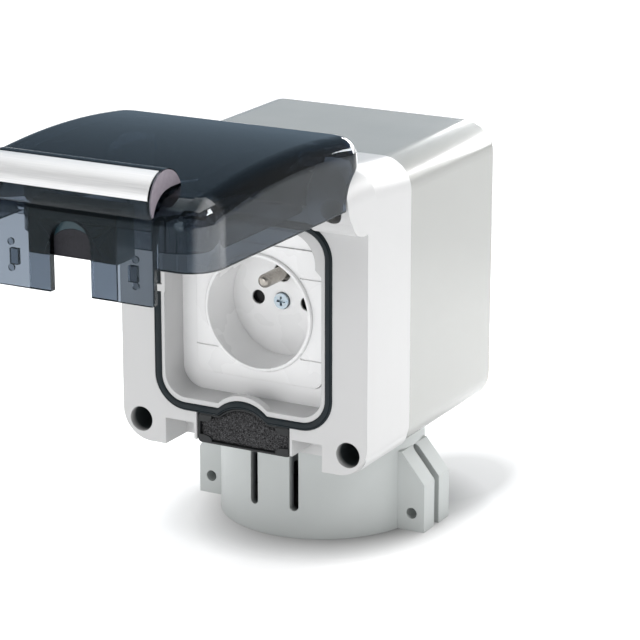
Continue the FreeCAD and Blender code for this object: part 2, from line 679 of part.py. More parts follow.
holder_half = seat_half - 0.1
holder_z = base + holder_low
holder_front = front + side_gap
foam_half = holder_half - holder_wall
foam_low = holder_z + holder_wall
foam_high = gasket_z - holder_wall
foam_back = front + seat_depth - holder_wall


def arched_block(sketch, wide, low, high):
    """A rectangle about x = 0 whose upper side carries the arch over the cable."""
    outline(sketch, (-wide, low), (wide, low), (wide, high), (arch_half, high),
            (-arch_half, high, arch_radius), (-wide, high))


foam_holder = new_body("foam_holder")
sketch = new_sketch(foam_holder, "front", holder_front)
arched_block(sketch, holder_half, holder_z, gasket_z)
pad(foam_holder, sketch, seat_depth - side_gap, 1)
sketch = new_sketch(foam_holder, "front", holder_front)
arched_block(sketch, foam_half, foam_low, foam_high)
pocket(foam_holder, sketch, seat_depth - side_gap - holder_wall, 1)
sketch = new_sketch(foam_holder, "front", holder_front)
for side in SIDES:
    for edge_z, way in ((foam_low - 0.3, 1), (foam_high + 0.3, -1)):
        outline(sketch, ((foam_half + 0.3) * side, edge_z),
                ((foam_half - clip_length) * side, edge_z),
                ((foam_half - clip_length) * side, edge_z + 0.9 * way),
                ((foam_half - clip_height) * side, edge_z + 1.2 * way),
                ((foam_half - 1) * side, edge_z + clip_height * way),
                ((foam_half + 0.3) * side, edge_z + clip_height * way))
pad(foam_holder, sketch, holder_wall, 1)

# Cable foam: a sponge block behind the clips, crowned between them

cable_foam = new_body("cable_foam")
sketch = new_sketch(cable_foam, "front", holder_front + holder_wall)
arched_block(sketch, foam_half, foam_low, foam_high)
pad(cable_foam, sketch, foam_back - (holder_front + holder_wall), 1)
sketch = new_sketch(cable_foam, "front", holder_front + holder_wall)
foam_neck = foam_half - clip_length - 0.3
foam_waist = clip_height + 0.5
outline(sketch, (-foam_neck, foam_low), (foam_neck, foam_low), (foam_neck, foam_low + foam_waist),
        (foam_half, foam_low + foam_waist), (foam_half, foam_high - foam_waist),
        (foam_neck, foam_high - foam_waist), (foam_neck, foam_high), (arch_half, foam_high),
        (-arch_half, foam_high, arch_radius), (-foam_neck, foam_high),
        (-foam_neck, foam_high - foam_waist), (-foam_half, foam_high - foam_waist),
        (-foam_half, foam_low + foam_waist), (-foam_neck, foam_low + foam_waist))
pad(cable_foam, sketch, holder_wall, -1)

# Adapter plate behind the well, with a window for the socket cover

plate_back = plate_front + plate_thick
adapter_plate = new_body("adapter_plate")
sketch = new_sketch(adapter_plate, "front", plate_front)
rounded(sketch, 0.2 - block_half, block_half - 0.2, base + pocket_top + 0.8, block_top - 0.2, well_corner)
window_x = cover_width / 2 + cover_gap
window_z = cover_height / 2 + cover_gap
rounded(sketch, -window_x, window_x, insert_z - window_z, insert_z + window_z, cover_corner)
for side in SIDES:
    round_hole(sketch, plate_screw_x * side, plate_screw_low, small_screw + 0.15)
    round_hole(sketch, plate_screw_x * side, plate_screw_high, small_screw + 0.15)
pad(adapter_plate, sketch, plate_thick, 1)
bridge_x = (window_x + block_half) / 2
sketch = new_sketch(adapter_plate, "front", plate_back)
for side in SIDES:
    round_hole(sketch, bridge_x * side, insert_z, small_screw + running_gap)
pocket(adapter_plate, sketch, plate_thick - 0.8, -1)

# Socket cover: a square plate with a ring, a deep round recess and two seams each side

socket_cover = new_body("socket_cover")
cover_x = cover_width / 2
cover_z = cover_height / 2
sketch = new_sketch(socket_cover, "front", cover_front)
rounded(sketch, -cover_x, cover_x, insert_z - cover_z, insert_z + cover_z, cover_corner - cover_gap)
pad(socket_cover, sketch, plate_back - cover_front, 1)
sketch = new_sketch(socket_cover, "front", recess_front)
round_hole(sketch, 0, insert_z, recess_round + recess_wall)
pad(socket_cover, sketch, floor_back - recess_front, 1)
soften(socket_cover, "Chamfer", recess_wall / 3,
       lambda edge: all_at(edge, "y", recess_front))
sketch = new_sketch(socket_cover, "front", recess_front)
round_hole(sketch, 0, insert_z, recess_round)
pocket(socket_cover, sketch, recess_depth, 1)
sketch = new_sketch(socket_cover, "front", floor_front)
for side in SIDES:
    round_hole(sketch, pin_pitch / 2 * side, insert_z, pin_hole)
round_hole(sketch, 0, insert_z, small_screw + 0.3)
round_hole(sketch, 0, insert_z + earth_up, earth_hole)
pocket(socket_cover, sketch, floor_thick + 1, 1)
sketch = new_sketch(socket_cover, "front", floor_front)
round_hole(sketch, 0, insert_z, small_head + 0.6)
pocket(socket_cover, sketch, 1, 1)
sketch = new_sketch(socket_cover, "front", cover_front)
seam_far = cover_x + 1
for side in SIDES:
    for end in SIDES:
        seam_z = insert_z + seam_pitch / 2 * end
        rectangle(sketch, seam_far * side, (recess_round - 3.5) * side,
                  seam_z - seam_width / 2, seam_z + seam_width / 2)
pocket(socket_cover, sketch, seam_width, 1)

# Rear body of the mechanism: cup round the recess, contact bores and the shutter's bed

base_half = base_width / 2
base_back = floor_back + base_depth
sleeve_front = floor_back + shutter_thick + 1
socket_base = new_body("socket_base")
sketch = new_sketch(socket_base, "front", plate_back)
rounded(sketch, -base_half, base_half, insert_z - base_height / 2, insert_z + base_height / 2,
        cover_corner)
pad(socket_base, sketch, base_back - plate_back, 1)
sketch = new_sketch(socket_base, "front", plate_back)
rounded(sketch, -flange_half, flange_half, insert_z - base_height / 4, insert_z + base_height / 4,
        cover_corner / 2)
pad(socket_base, sketch, flange_thick, 1)
sketch = new_sketch(socket_base, "front", plate_back)
round_hole(sketch, 0, insert_z, recess_round + recess_wall + cover_gap)
pocket(socket_base, sketch, floor_back - plate_back, 1)
sketch = new_sketch(socket_base, "front", plate_back)
for side in SIDES:
    round_hole(sketch, bridge_x * side, insert_z, small_screw + 0.15)
pocket(socket_base, sketch, flange_thick, 1)
bed_half = shutter_half + side_gap
sketch = new_sketch(socket_base, "front", floor_back)
rectangle(sketch, -bed_half, bed_half, insert_z - shutter_low - shutter_travel - side_gap,
          insert_z + shutter_high + side_gap)
pocket(socket_base, sketch, shutter_thick + side_gap, 1)
sketch = new_sketch(socket_base, "front", floor_back)
for side in SIDES:
    round_hole(sketch, pin_pitch / 2 * side, insert_z, sleeve_round + running_gap)
pocket(socket_base, sketch, sleeve_front + sleeve_length - floor_back, 1)
sketch = new_sketch(socket_base, "front", floor_back)
round_hole(sketch, 0, insert_z, small_screw + running_gap)
round_hole(sketch, 0, insert_z + earth_up, earth_round + running_gap)
pocket(socket_base, sketch, sleeve_front + sleeve_length - floor_back, 1)
terminal_z = insert_z - base_height / 2 + 6
sketch = new_sketch(socket_base, "front", base_back)
for place in (-1, 0, 1):
    round_hole(sketch, pin_pitch * 0.75 * place, terminal_z, small_screw + running_gap)
pocket(socket_base, sketch, small_length - 0.8, -1)

# Live and neutral contacts: split brass sleeves with a closed end

for side, label in zip(SIDES, ("live_contact", "neutral_contact")):
    contact = new_body(label)
    sketch = new_sketch(contact, "front", sleeve_front)
    round_hole(sketch, pin_pitch / 2 * side, insert_z, sleeve_round)
    pad(contact, sketch, sleeve_length, 1)
    sketch = new_sketch(contact, "front", sleeve_front)
    round_hole(sketch, pin_pitch / 2 * side, insert_z, earth_round + running_gap)
    pocket(contact, sketch, sleeve_length - 2, 1)
    sketch = new_sketch(contact, "front", sleeve_front)
    rectangle(sketch, pin_pitch / 2 * side - sleeve_round - 1, pin_pitch / 2 * side + sleeve_round + 1,
              insert_z - 0.4, insert_z + 0.4)
    pocket(contact, sketch, sleeve_length - 4, 1)

# Earth pin: a plain round pin with a rounded tip

earth_pin = new_body("earth_pin")
sketch = new_sketch(earth_pin, "front", floor_front - earth_reach)
round_hole(sketch, 0, insert_z + earth_up, earth_round)
pad(earth_pin, sketch, earth_reach + sleeve_front + sleeve_length - floor_front - 1, 1)
soften(earth_pin, "Fillet", earth_round * 0.8,
       lambda edge: all_at(edge, "y", floor_front - earth_reach))

# Shutter: a plate with two wings that hide the pin holes, open over the middle screw

shutter_front = floor_back + side_gap / 2
shutter = new_body("shutter")
sketch = new_sketch(shutter, "front", shutter_front)
shutter_slot = small_screw + 0.6
outline(sketch, (-shutter_half, insert_z - shutter_low), (shutter_half, insert_z - shutter_low),
        (shutter_half, insert_z + shutter_high), (shutter_slot, insert_z + shutter_high),
        (shutter_slot, insert_z - shutter_slot), (-shutter_slot, insert_z - shutter_slot),
        (-shutter_slot, insert_z + shutter_high), (-shutter_half, insert_z + shutter_high))
pad(shutter, sketch, shutter_thick, 1)

# Lid: domed shell with a skirt, moulded in one piece with tab, hinge bar and rib

dome_z = rim + lid_skirt


def domed_block(body, inset, low):
    """The lid's outer form, or, set in by the wall, the hollow under it."""
    sketch = new_sketch(body, "top", low)
    rounded(sketch, inset - lid_half, lid_half - inset, lid_front + inset, lid_back - inset,
            lid_corner - inset)
    pad(body, sketch, dome_z + 10 - low, 1)
    sketch = new_sketch(body, "side", 0)
    brow_z = rim + brow_height
    outline(sketch, (lid_back + 1, dome_z - inset), (lid_back + 1, dome_z + 12),
            (lid_front - 1, dome_z + 12), (lid_front - 1, brow_z), (lid_front + inset, brow_z),
            (lid_front + brow_depth, dome_z - inset, inset - brow_round),
            (lid_back, dome_z - inset, -dome_radius))
    pocket(body, sketch, lid_width + 2, 0)
    shoulder = as_size(lid_half - lid_corner).value

    def on_shoulder(edge):
        box = edge.BoundBox
        beside = max(abs(box.XMin), abs(box.XMax)) > shoulder + 0.1
        return beside and box.ZMin > brow_z.value - 0.05 and box.XLength < shoulder

    soften(body, "Fillet", lid_edge - inset, on_shoulder)


lid = new_body("lid")
domed_block(lid, as_size(0), rim)
hollow = new_body("lid_hollow")
domed_block(hollow, lid_wall, rim - 1)

# Sealing rib: when the lid is shut, it meets the middle of the rubber loop
rib_shift = hinge_y - hinge_z
rib_inset = (gasket_band - rib_wall) / 2
rib_half = gasket_half - rib_inset
rib_near = gasket_z + rib_inset + rib_shift
rib_far = gasket_top - rib_inset + rib_shift
rib_corner = gasket_corner - rib_inset
sketch = new_sketch(hollow, "top", rim - 1)
arched(sketch, rib_half, rib_near, rib_far, rib_corner)
arched(sketch, rib_half - rib_wall, rib_near + rib_wall, rib_far - rib_wall, rib_corner - rib_wall)
pocket(hollow, sketch, lid_skirt + 10, 1)
cut = lid.newObject("PartDesign::Boolean", "Hollow")
cut.Type = "Cut"
cut.setObjects([hollow])
doc.recompute()

sketch = new_sketch(lid, "side", 0)
round_hole(sketch, hinge_y, hinge_z, swing)
pocket(lid, sketch, lid_width + 2, 0)

# Hinge bar and the web that carries it
bar_half = lug_in - side_gap
sketch = new_sketch(lid, "side", 0)
outline(sketch, (hinge_y - lid_wall + 1.4, hinge_z), (hinge_y + 1.4, hinge_z),
        (hinge_y + 1.4, dome_z - 0.5), (hinge_y - lid_wall + 1.4, dome_z - 0.5))
pad(lid, sketch, bar_half * 2, 0)
sketch = new_sketch(lid, "side", 0)
round_hole(sketch, hinge_y, hinge_z, knuckle_round)
pad(lid, sketch, bar_half * 2, 0)
for side in SIDES:
    sketch = new_sketch(lid, "side", bar_half * side)
    round_hole(sketch, hinge_y, hinge_z, pin_round + running_gap)
    pocket(lid, sketch, pin_bite + 0.6, -side)

# Latch tab with its cable notch, bumps and ejector bosses
tab_low = rim - tab_drop
tab_edge = lid_wall / 2
sketch = new_sketch(lid, "front", lid_front)
outline(sketch, (tab_half - tab_edge, tab_low), (tab_half, tab_low + tab_edge, tab_edge),
        (tab_half, rim + 2), (-tab_half, rim + 2), (-tab_half, tab_low + tab_edge),
        (tab_edge - tab_half, tab_low, tab_edge))
pad(lid, sketch, lid_wall, 1)
sketch = new_sketch(lid, "front", lid_front + lid_wall)
for side in SIDES:
    rectangle(sketch, guard_half * side, (tab_half + 0.5) * side, tab_low - 1, rim + 11)
pocket(lid, sketch, tab_step, -1)
thin_face = lid_front + lid_wall - tab_step
sketch = new_sketch(lid, "front", thin_face - 0.3)
catch_x = pocket_in + 0.5
for side in SIDES:
    rectangle(sketch, catch_x * side, (catch_x + 3) * side, rim - 5.2, rim - 0.2)
pad(lid, sketch, tab_step + 0.9, 1)
boss_x = (pocket_in + pocket_out) / 2 - 2.6
sketch = new_sketch(lid, "front", thin_face - 0.3)
for side in SIDES:
    round_hole(sketch, boss_x * side, rim + 1.9, 1.1)
    round_hole(sketch, boss_x * side, rim - 6.3, 1.1)
pad(lid, sketch, 1, 1)
notch_top = rim + notch_rise
sketch = new_sketch(lid, "front", lid_front - 1)
outline(sketch, (-notch_half, tab_low - 1), (notch_half, tab_low - 1), (notch_half, notch_top),
        (0, notch_top + notch_half, notch_half), (-notch_half, notch_top, notch_half))
pocket(lid, sketch, lid_wall + 1.5, 1)

# The grip: a hollow bead along the free edge, with a seat for the strip
grip_y = lid_front + grip_in
grip_z = rim + grip_up
grip_foot = grip_z - root(grip_round * grip_round - grip_in * grip_in)
grip_back = grip_y + root(grip_round * grip_round - (dome_z - grip_z) * (dome_z - grip_z))
sketch = new_sketch(lid, "side", 0)
outline(sketch, (lid_front, grip_foot), (grip_y, grip_z + grip_round, -grip_round),
        (grip_back, dome_z, -grip_round), (grip_back, dome_z - 1.2),
        (lid_front + brow_depth, dome_z - 1.2), (lid_front + 2, grip_foot))
pad(lid, sketch, grip_half * 2, 0)
sketch = new_sketch(lid, "side", 0)
round_hole(sketch, grip_y, grip_z, grip_round - lid_wall)
pocket(lid, sketch, (grip_half - lid_wall) * 2, 0)


def bead_y(radius, rise):
    """Where a circle about the grip's centre has this height above it, on the front side."""
    return grip_y - root(radius * radius - rise * rise)


seat_round = grip_round - strip_thick - strip_gap
seat_foot = strip_rise - strip_gap
seat_stop = strip_stop - strip_gap
seat_front = grip_y - grip_round - 1
seat_top = grip_z + grip_round + 1
sketch = new_sketch(lid, "side", 0)
outline(sketch, (seat_front, grip_z + seat_foot), (bead_y(seat_round, seat_foot), grip_z + seat_foot),
        (grip_y - seat_stop, grip_z + root(seat_round * seat_round - seat_stop * seat_stop), -seat_round),
        (grip_y - seat_stop, seat_top), (seat_front, seat_top))
pocket(lid, sketch, (strip_half + strip_gap) * 2, 0)

# Strip on the grip

grip_strip = new_body("grip_strip")
strip_in = grip_round - strip_thick
sketch = new_sketch(grip_strip, "side", 0)
outline(sketch, (bead_y(grip_round, strip_rise), grip_z + strip_rise),
        (grip_y - strip_stop, grip_z + root(grip_round * grip_round - strip_stop * strip_stop),
         -grip_round),
        (grip_y - strip_stop, grip_z + root(strip_in * strip_in - strip_stop * strip_stop)),
        (bead_y(strip_in, strip_rise), grip_z + strip_rise, strip_in))
pad(grip_strip, sketch, strip_half * 2, 0)

# Cable guard: a dark block behind the tab, arched over the cable

guard_low = hinge_z - hinge_out + 0.1
guard_front = lid_front + lid_wall
guard_back = guard_front + guard_depth
guard_top = guard_low + guard_height
cable_guard = new_body("cable_guard")
sketch = new_sketch(cable_guard, "side", 0)
outline(sketch, (guard_front, guard_low), (guard_back, guard_low), (guard_back, guard_top),
        (guard_front + guard_slope, guard_top), (guard_front, guard_top - guard_slope))
pad(cable_guard, sketch, guard_half * 2, 0)
sketch = new_sketch(cable_guard, "front", guard_front)
outline(sketch, (-guard_arch, guard_low, guard_round), (guard_arch, guard_low))
pocket(cable_guard, sketch, guard_depth, 1)

# Cable flap: a soft dome that fills the guard's arch behind the notch

cable_flap = new_body("cable_flap")
sketch = new_sketch(cable_flap, "front", guard_front)
outline(sketch, (-guard_arch, guard_low, guard_round), (guard_arch, guard_low))
pad(cable_flap, sketch, flap_thick, 1)

# Pole collar: a split ring under a solid web, with double ears and two front slots

collar = new_body("pole_collar")
sketch = new_sketch(collar, "top", 0)
round_hole(sketch, 0, 0, collar_round)
pad(collar, sketch, case_lift, 1)
ear_far = ear_thick + slit_gap / 2
sketch = new_sketch(collar, "front", 0)
for side in SIDES:
    root_x = (bore_round + 1) * side
    outline(sketch, (root_x, 0), (ear_reach * side, 0), (ear_reach * side, ear_shoulder),
            (collar_round * side, ear_top), (root_x, ear_top))
pad(collar, sketch, ear_far * 2, 0)
soften(collar, "Fillet", 1.2,
       lambda edge: near(edge.BoundBox.XLength, 0) and near(edge.BoundBox.ZLength, 0)
       and edge.BoundBox.YLength > ear_thick.value
       and near(abs(edge.CenterOfMass.x), ear_reach) and edge.CenterOfMass.z > 1)
sketch = new_sketch(collar, "top", 0)
round_hole(sketch, 0, 0, bore_round)
pocket(collar, sketch, case_lift - web_thick, 1)
sketch = new_sketch(collar, "top", 0)
round_hole(sketch, 0, 0, cable_round + 0.5)
pocket(collar, sketch, case_lift, 1)
slit_z = ear_top - slit_gap / 2
for side in SIDES:
    sketch = new_sketch(collar, "side", (bore_round - 3) * side)
    outline(sketch, (slit_gap / 2, -1), (slit_gap / 2, slit_z), (0, ear_top, slit_gap / 2),
            (-slit_gap / 2, slit_z, slit_gap / 2), (-slit_gap / 2, -1))
    pocket(collar, sketch, ear_reach, side)
sketch = new_sketch(collar, "front", -ear_far)
for side in SIDES:
    round_hole(sketch, ear_hole_out * side, ear_hole_up, ear_hole)
pocket(collar, sketch, ear_far * 2, 1)
sketch = new_sketch(collar, "top", case_lift)
for side in SIDES:
    for end in SIDES:
        round_hole(sketch, collar_pitch / 2 * side, collar_pitch / 2 * end, collar_screw + running_gap)
pocket(collar, sketch, web_thick - 1, -1)
sketch = new_sketch(collar, "front", -collar_round - 2)
slot_x = Size(collar_round.value * math.sin(math.radians(slot_turn.value)),
              f"({collar_round.text} * sin({slot_turn.text}))")
slot_half = slot_width / 2
for side in SIDES:
    middle = slot_x * side
    outline(sketch, (middle - slot_half, slot_low + slot_half), (middle, slot_low, slot_half),
            (middle + slot_half, slot_low + slot_half, slot_half),
            (middle + slot_half, case_lift + 1), (middle - slot_half, case_lift + 1))
pocket(collar, sketch, collar_round - bore_round + 4.5, 1)

# Grommet: a rubber plug with a flange over the box's floor and a membrane round the cable

grommet = new_body("cable_grommet")
sketch = new_sketch(grommet, "side", 0)
floor_z = base + box_wall
grommet_out = cable_round - 0.1
grommet_low = base - web_thick / 2
cable_hole = cable_round / 4
outline(sketch, (cable_hole, grommet_low), (grommet_out, grommet_low), (grommet_out, floor_z),
        (cable_round + 2, floor_z), (cable_round + 2, floor_z + grommet_wall),
        (grommet_out - grommet_wall, floor_z + grommet_wall),
        (grommet_out - grommet_wall, grommet_low + grommet_wall),
        (cable_hole, grommet_low + grommet_wall))
revolve(grommet, sketch, "V_Axis")


# Screws: a pan head with a cross recess on a plain shank, many to one node

def fastener_set(label, places, way, shank, head, length):
    """Identical screws. A place is the point under the head; way is the axis that the shank
    follows: 'y' backwards, '-y' forwards or '-z' down."""
    turns = {"y": (FreeCAD.Vector(1, 0, 0), 90), "-y": (FreeCAD.Vector(1, 0, 0), -90),
             "-z": (FreeCAD.Vector(1, 0, 0), 0)}
    rotation = FreeCAD.Rotation(*turns[way])
    screws = []
    for place in places:
        rod = doc.addObject("Part::Cylinder", f"{label}_shank")
        rod.setExpression("Radius", shank.text)
        rod.setExpression("Height", length.text)
        rod.Placement = FreeCAD.Placement(FreeCAD.Vector(0, 0, -length.value), FreeCAD.Rotation())
        rod.setExpression("Placement.Base.z", (-length).text)
        cap = doc.addObject("Part::Cylinder", f"{label}_head")
        cap.setExpression("Radius", head.text)
        cap.setExpression("Height", head_thick.text)
        whole = doc.addObject("Part::Fuse", f"{label}_blank")
        whole.Base = rod
        whole.Tool = cap
        slots = []
        for long_x in (True, False):
            slot = doc.addObject("Part::Box", f"{label}_slot")
            long, short = head * 1.2, cross_width
            width, depth = (long, short) if long_x else (short, long)
            slot.setExpression("Length", width.text)
            slot.setExpression("Width", depth.text)
            slot.setExpression("Height", (cross_depth + 1).text)
            slot.setExpression("Placement.Base.x", (-width / 2).text)
            slot.setExpression("Placement.Base.y", (-depth / 2).text)
            slot.setExpression("Placement.Base.z", (head_thick - cross_depth).text)
            slots.append(slot)
        cross = doc.addObject("Part::Fuse", f"{label}_cross")
        cross.Base, cross.Tool = slots
        screw = doc.addObject("Part::Cut", f"{label}_screw")
        screw.Base = whole
        screw.Tool = cross
        screw.Placement = FreeCAD.Placement(FreeCAD.Vector(0, 0, 0), rotation)
        for axis, number in zip("xyz", place):
            screw.setExpression(f"Placement.Base.{axis}", as_size(number).text)
        screws.append(screw)
    group = doc.addObject("Part::Compound", label)
    group.Label = label
    group.Links = screws
    doc.recompute()
    return group


cover_screws = fastener_set(
    "cover_screws",
    [(screw_x * side, front + head_well_depth, z) for side in SIDES for z in (screw_low, screw_high)],
    "y", cover_screw, cover_head, cover_length)
mechanism_screws = fastener_set(
    "mechanism_screws",
    [(plate_screw_x * side, plate_back, z) for side in SIDES for z in (plate_screw_low, plate_screw_high)],
    "-y", small_screw, small_head, small_length)
bridge_screws = fastener_set(
    "bridge_screws",
    [(bridge_x * side, plate_back + flange_thick, insert_z) for side in SIDES],
    "-y", small_screw, small_head, flange_thick + plate_thick - 1)
terminal_screws = fastener_set(
    "terminal_screws",
    [(pin_pitch * 0.75 * place, base_back, terminal_z) for place in (-1, 0, 1)],
    "-y", small_screw, small_head, small_length - 1)
insert_screw = fastener_set(
    "insert_screw", [(0, floor_front + 1, insert_z)],
    "y", small_screw, small_head + 0.35, small_length + 5)
collar_screws = fastener_set(
    "collar_screws",
    [(collar_pitch / 2 * side, collar_pitch / 2 * end, floor_z) for side in SIDES for end in SIDES],
    "-z", collar_screw, collar_head, collar_length)

# Hinge pins: two short steel pins, half in the lug and half in the hinge bar

pins = []
for side in SIDES:
    pin = doc.addObject("Part::Cylinder", "pin")
    pin.setExpression("Radius", pin_round.text)
    pin.setExpression("Height", (pin_length - 0.3).text)
    pin.Placement = FreeCAD.Placement(FreeCAD.Vector(), FreeCAD.Rotation(FreeCAD.Vector(0, 1, 0), 90))
    start = (lug_in + pin_bite - 0.1) * side - (pin_length - 0.3) * (1 if side > 0 else 0)
    pin.setExpression("Placement.Base.x", start.text)
    pin.setExpression("Placement.Base.y", hinge_y.text)
    pin.setExpression("Placement.Base.z", hinge_z.text)
    pins.append(pin)
hinge_pins = doc.addObject("Part::Compound", "hinge_pins")
hinge_pins.Label = "hinge_pins"
hinge_pins.Links = pins

doc.recompute()

# Checks, then one STEP file for each sub-part

NODES = [rear_box, box_gasket, front_frame, lid_gasket, foam_holder, cable_foam, adapter_plate,
         socket_cover, socket_base, earth_pin, shutter, lid, grip_strip, cable_guard, cable_flap,
         collar, grommet,
         cover_screws, mechanism_screws, bridge_screws, terminal_screws, insert_screw, collar_screws,
         hinge_pins]
NODES += [doc.getObject(label) for label in ("live_contact", "neutral_contact")]

for item in doc.Objects:
    if "Invalid" in item.State or "Error" in item.State:
        raise RuntimeError(f"{item.Label} failed: {item.State}")
os.makedirs("parts", exist_ok=True)
for node in NODES:
    if node.Shape.isNull() or not node.Shape.isValid():
        raise RuntimeError(f"{node.Label} has no valid shape")
    node.Shape.exportStep(f"parts/{node.Label}.step")
    print(f"{node.Label}: {len(node.Shape.Solids)} solids, {node.Shape.Volume:.0f} mm3")
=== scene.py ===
import bpy
import numpy as np
from mathutils import Euler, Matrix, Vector


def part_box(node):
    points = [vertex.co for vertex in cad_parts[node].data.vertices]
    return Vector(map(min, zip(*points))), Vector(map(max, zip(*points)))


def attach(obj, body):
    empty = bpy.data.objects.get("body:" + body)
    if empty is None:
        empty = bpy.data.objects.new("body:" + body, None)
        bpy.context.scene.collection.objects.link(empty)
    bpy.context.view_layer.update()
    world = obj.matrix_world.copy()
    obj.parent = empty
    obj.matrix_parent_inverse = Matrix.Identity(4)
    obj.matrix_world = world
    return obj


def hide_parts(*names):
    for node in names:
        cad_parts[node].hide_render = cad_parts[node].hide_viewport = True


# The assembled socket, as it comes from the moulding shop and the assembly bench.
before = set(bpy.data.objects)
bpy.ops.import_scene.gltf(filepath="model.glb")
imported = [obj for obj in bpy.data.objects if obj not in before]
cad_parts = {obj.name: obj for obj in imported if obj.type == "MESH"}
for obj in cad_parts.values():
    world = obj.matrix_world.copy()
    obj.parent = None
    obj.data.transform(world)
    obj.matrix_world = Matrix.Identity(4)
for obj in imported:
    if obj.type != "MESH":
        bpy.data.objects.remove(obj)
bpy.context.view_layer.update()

# Photographer's place: a long lens from the right, a little above the open lid.
# The distance and the angle make the sides run together as they do in the photograph.
camera = bpy.data.objects.new("camera", bpy.data.cameras.new("camera"))
camera.data.lens = 157.5
camera.data.sensor_width = 36.0
camera.location = (0.4513, -0.8333, 0.3520)
camera.rotation_euler = Euler(np.radians([90 - 16.64, 0, 28.5]))
bpy.context.collection.objects.link(camera)
bpy.context.scene.camera = camera
bpy.context.scene.view_settings.view_transform = "Standard"


# Studio: a white table, a bright room that is dimmer behind, and soft boxes round the socket.
# A lamp low behind draws the highlight along the housing's upper edge.

def tint(code, alpha=1.0):
    """A colour written as six hex digits, turned from screen values into linear light."""
    levels = np.array([int(code[i:i + 2], 16) for i in (0, 2, 4)]) / 255
    linear = np.where(levels <= 0.04045, levels / 12.92, ((levels + 0.055) / 1.055) ** 2.4)
    return (*linear, alpha)


class Wire:
    """A shader socket. Arithmetic on it adds Math nodes to its tree, so 1 - mask is a node."""

    def __init__(self, nodes, socket):
        self.nodes = nodes
        self.socket = socket

    def reckon(self, operation, first, second):
        return self.nodes.node("ShaderNodeMath", {"operation": operation}, {0: first, 1: second})

    def size(self):
        """The number without its sign."""
        return self.nodes.node("ShaderNodeMath", {"operation": "ABSOLUTE"}, {0: self})

    def __add__(self, other):
        return self.reckon("ADD", self, other)

    def __sub__(self, other):
        return self.reckon("SUBTRACT", self, other)

    def __mul__(self, other):
        return self.reckon("MULTIPLY", self, other)

    def __pow__(self, other):
        return self.reckon("POWER", self, other)

    def __rsub__(self, other):
        return self.reckon("SUBTRACT", other, self)

    __radd__ = __add__
    __rmul__ = __mul__


class Nodes:
    """A tree of shader nodes, in which every other node is made from its type and its values."""

    def __init__(self, tree):
        self.tree = tree

    def set(self, node, values):
        for key, value in values.items():
            if isinstance(value, Wire):
                self.tree.links.new(value.socket, node.inputs[key])
            else:
                node.inputs[key].default_value = value

    def node(self, kind, settings, values, output=0):
        """Any node: its type, its settings, which are set first, and its sockets' values."""
        made = self.tree.nodes.new(kind)
        for key, value in settings.items():
            setattr(made, key, value)
        self.set(made, values)
        return Wire(self, made.outputs[output])

    def blend(self, amount, low, high):
        """A colour between two, by a number from 0 to 1."""
        return self.node("ShaderNodeMix", {"data_type": "RGBA"}, {0: amount, 6: low, 7: high}, 2)

    def clamp(self, value, low, high, to_low=0.0, to_high=1.0):
        """A number from a span stretched to another span, and held at its ends."""
        return self.node("ShaderNodeMapRange", {}, {
            0: value, 1: low, 2: high, 3: to_low, 4: to_high})


class Finish(Nodes):
    """A surface finish: one material with a single principled shader."""

    def __init__(self, name, **sockets):
        self.material = bpy.data.materials.new(name)
        self.material.use_nodes = True
        super().__init__(self.material.node_tree)
        self.shader = self.tree.nodes["Principled BSDF"]
        self.wear(**sockets)

    def place(self, scale=(1, 1, 1), turn=(0, 0, 0), shift=(0, 0, 0)):
        """The piece's own coordinates in metres, stretched or turned where a pattern needs it."""
        raw = self.node("ShaderNodeTexCoord", {}, {}, "Object")
        return self.node("ShaderNodeMapping", {}, {0: raw, 1: shift, 2: turn, 3: scale})

    def noise(self, where, scale, detail=2.0, roughness=0.5):
        return self.node("ShaderNodeTexNoise", {}, {
            "Vector": where, "Scale": scale, "Detail": detail, "Roughness": roughness}, "Fac")

    def apart(self, where):
        """The three coordinates of a place, one by one."""
        split = self.tree.nodes.new("ShaderNodeSeparateXYZ")
        self.set(split, {0: where})
        return [Wire(self, axis) for axis in split.outputs]

    def bump(self, height, depth, strength=1.0, edge=0.0):
        """Fine relief, on corners that are softened by 'edge' metres."""
        values = {"Height": height, "Distance": depth, "Strength": strength}
        if edge:
            values["Normal"] = self.node("ShaderNodeBevel", {"samples": 4}, {"Radius": edge})
        return self.node("ShaderNodeBump", {}, values)

    def wear(self, **sockets):
        """Sets the shader's sockets, named as in the shader, with _ for a space."""
        self.set(self.shader, {key.replace("_", " "): value for key, value in sockets.items()})


def flat_piece(name, corners):
    """A single face through its corners."""
    mesh = bpy.data.meshes.new(name)
    mesh.from_pydata(corners, [], [tuple(range(len(corners)))])
    made = bpy.data.objects.new(name, mesh)
    bpy.context.collection.objects.link(made)
    return made


def far_from(finish, place):
    """How far a place is from its origin, in the units of its mapping."""
    return finish.node("ShaderNodeVectorMath", {"operation": "LENGTH"}, {0: place}, "Value")


# The paper glows a little, a painted light that keeps it white. Its glow and its white fade in
# ellipses as painted shadows: under the case, beside it on the right, and close to the collar's foot.
# A scale is one over a half axis.
table_half = 8
corners = [(-1, -1), (1, -1), (1, 1), (-1, 1)]
table_top = flat_piece("table_top", [(x * table_half, y * table_half, 0) for x, y in corners])
paper_white, painted_side_shadow, painted_foot_shadow = tint("EFEFEF"), tint("BEBEBE"), tint("7E7E7E")
paper = Finish("white_paper", Base_Color=paper_white, Roughness=0.9, Emission_Strength=0.46)
paper_place = paper.place()
under_case = far_from(paper, paper.place(scale=(19.0, 11.0, 0.0), shift=(-0.26, -0.42, 0.0)))
beside_case = far_from(paper, paper.place(scale=(28.6, 20.0, 0.0), shift=(-0.86, -0.9, 0.0)))
from_pole_axis = far_from(paper, paper_place)
bore_edge, foot_edge = 0.034, 0.037
painted_glow = paper.clamp(under_case, 0.66, 1.2) * paper.clamp(from_pole_axis, bore_edge, foot_edge)
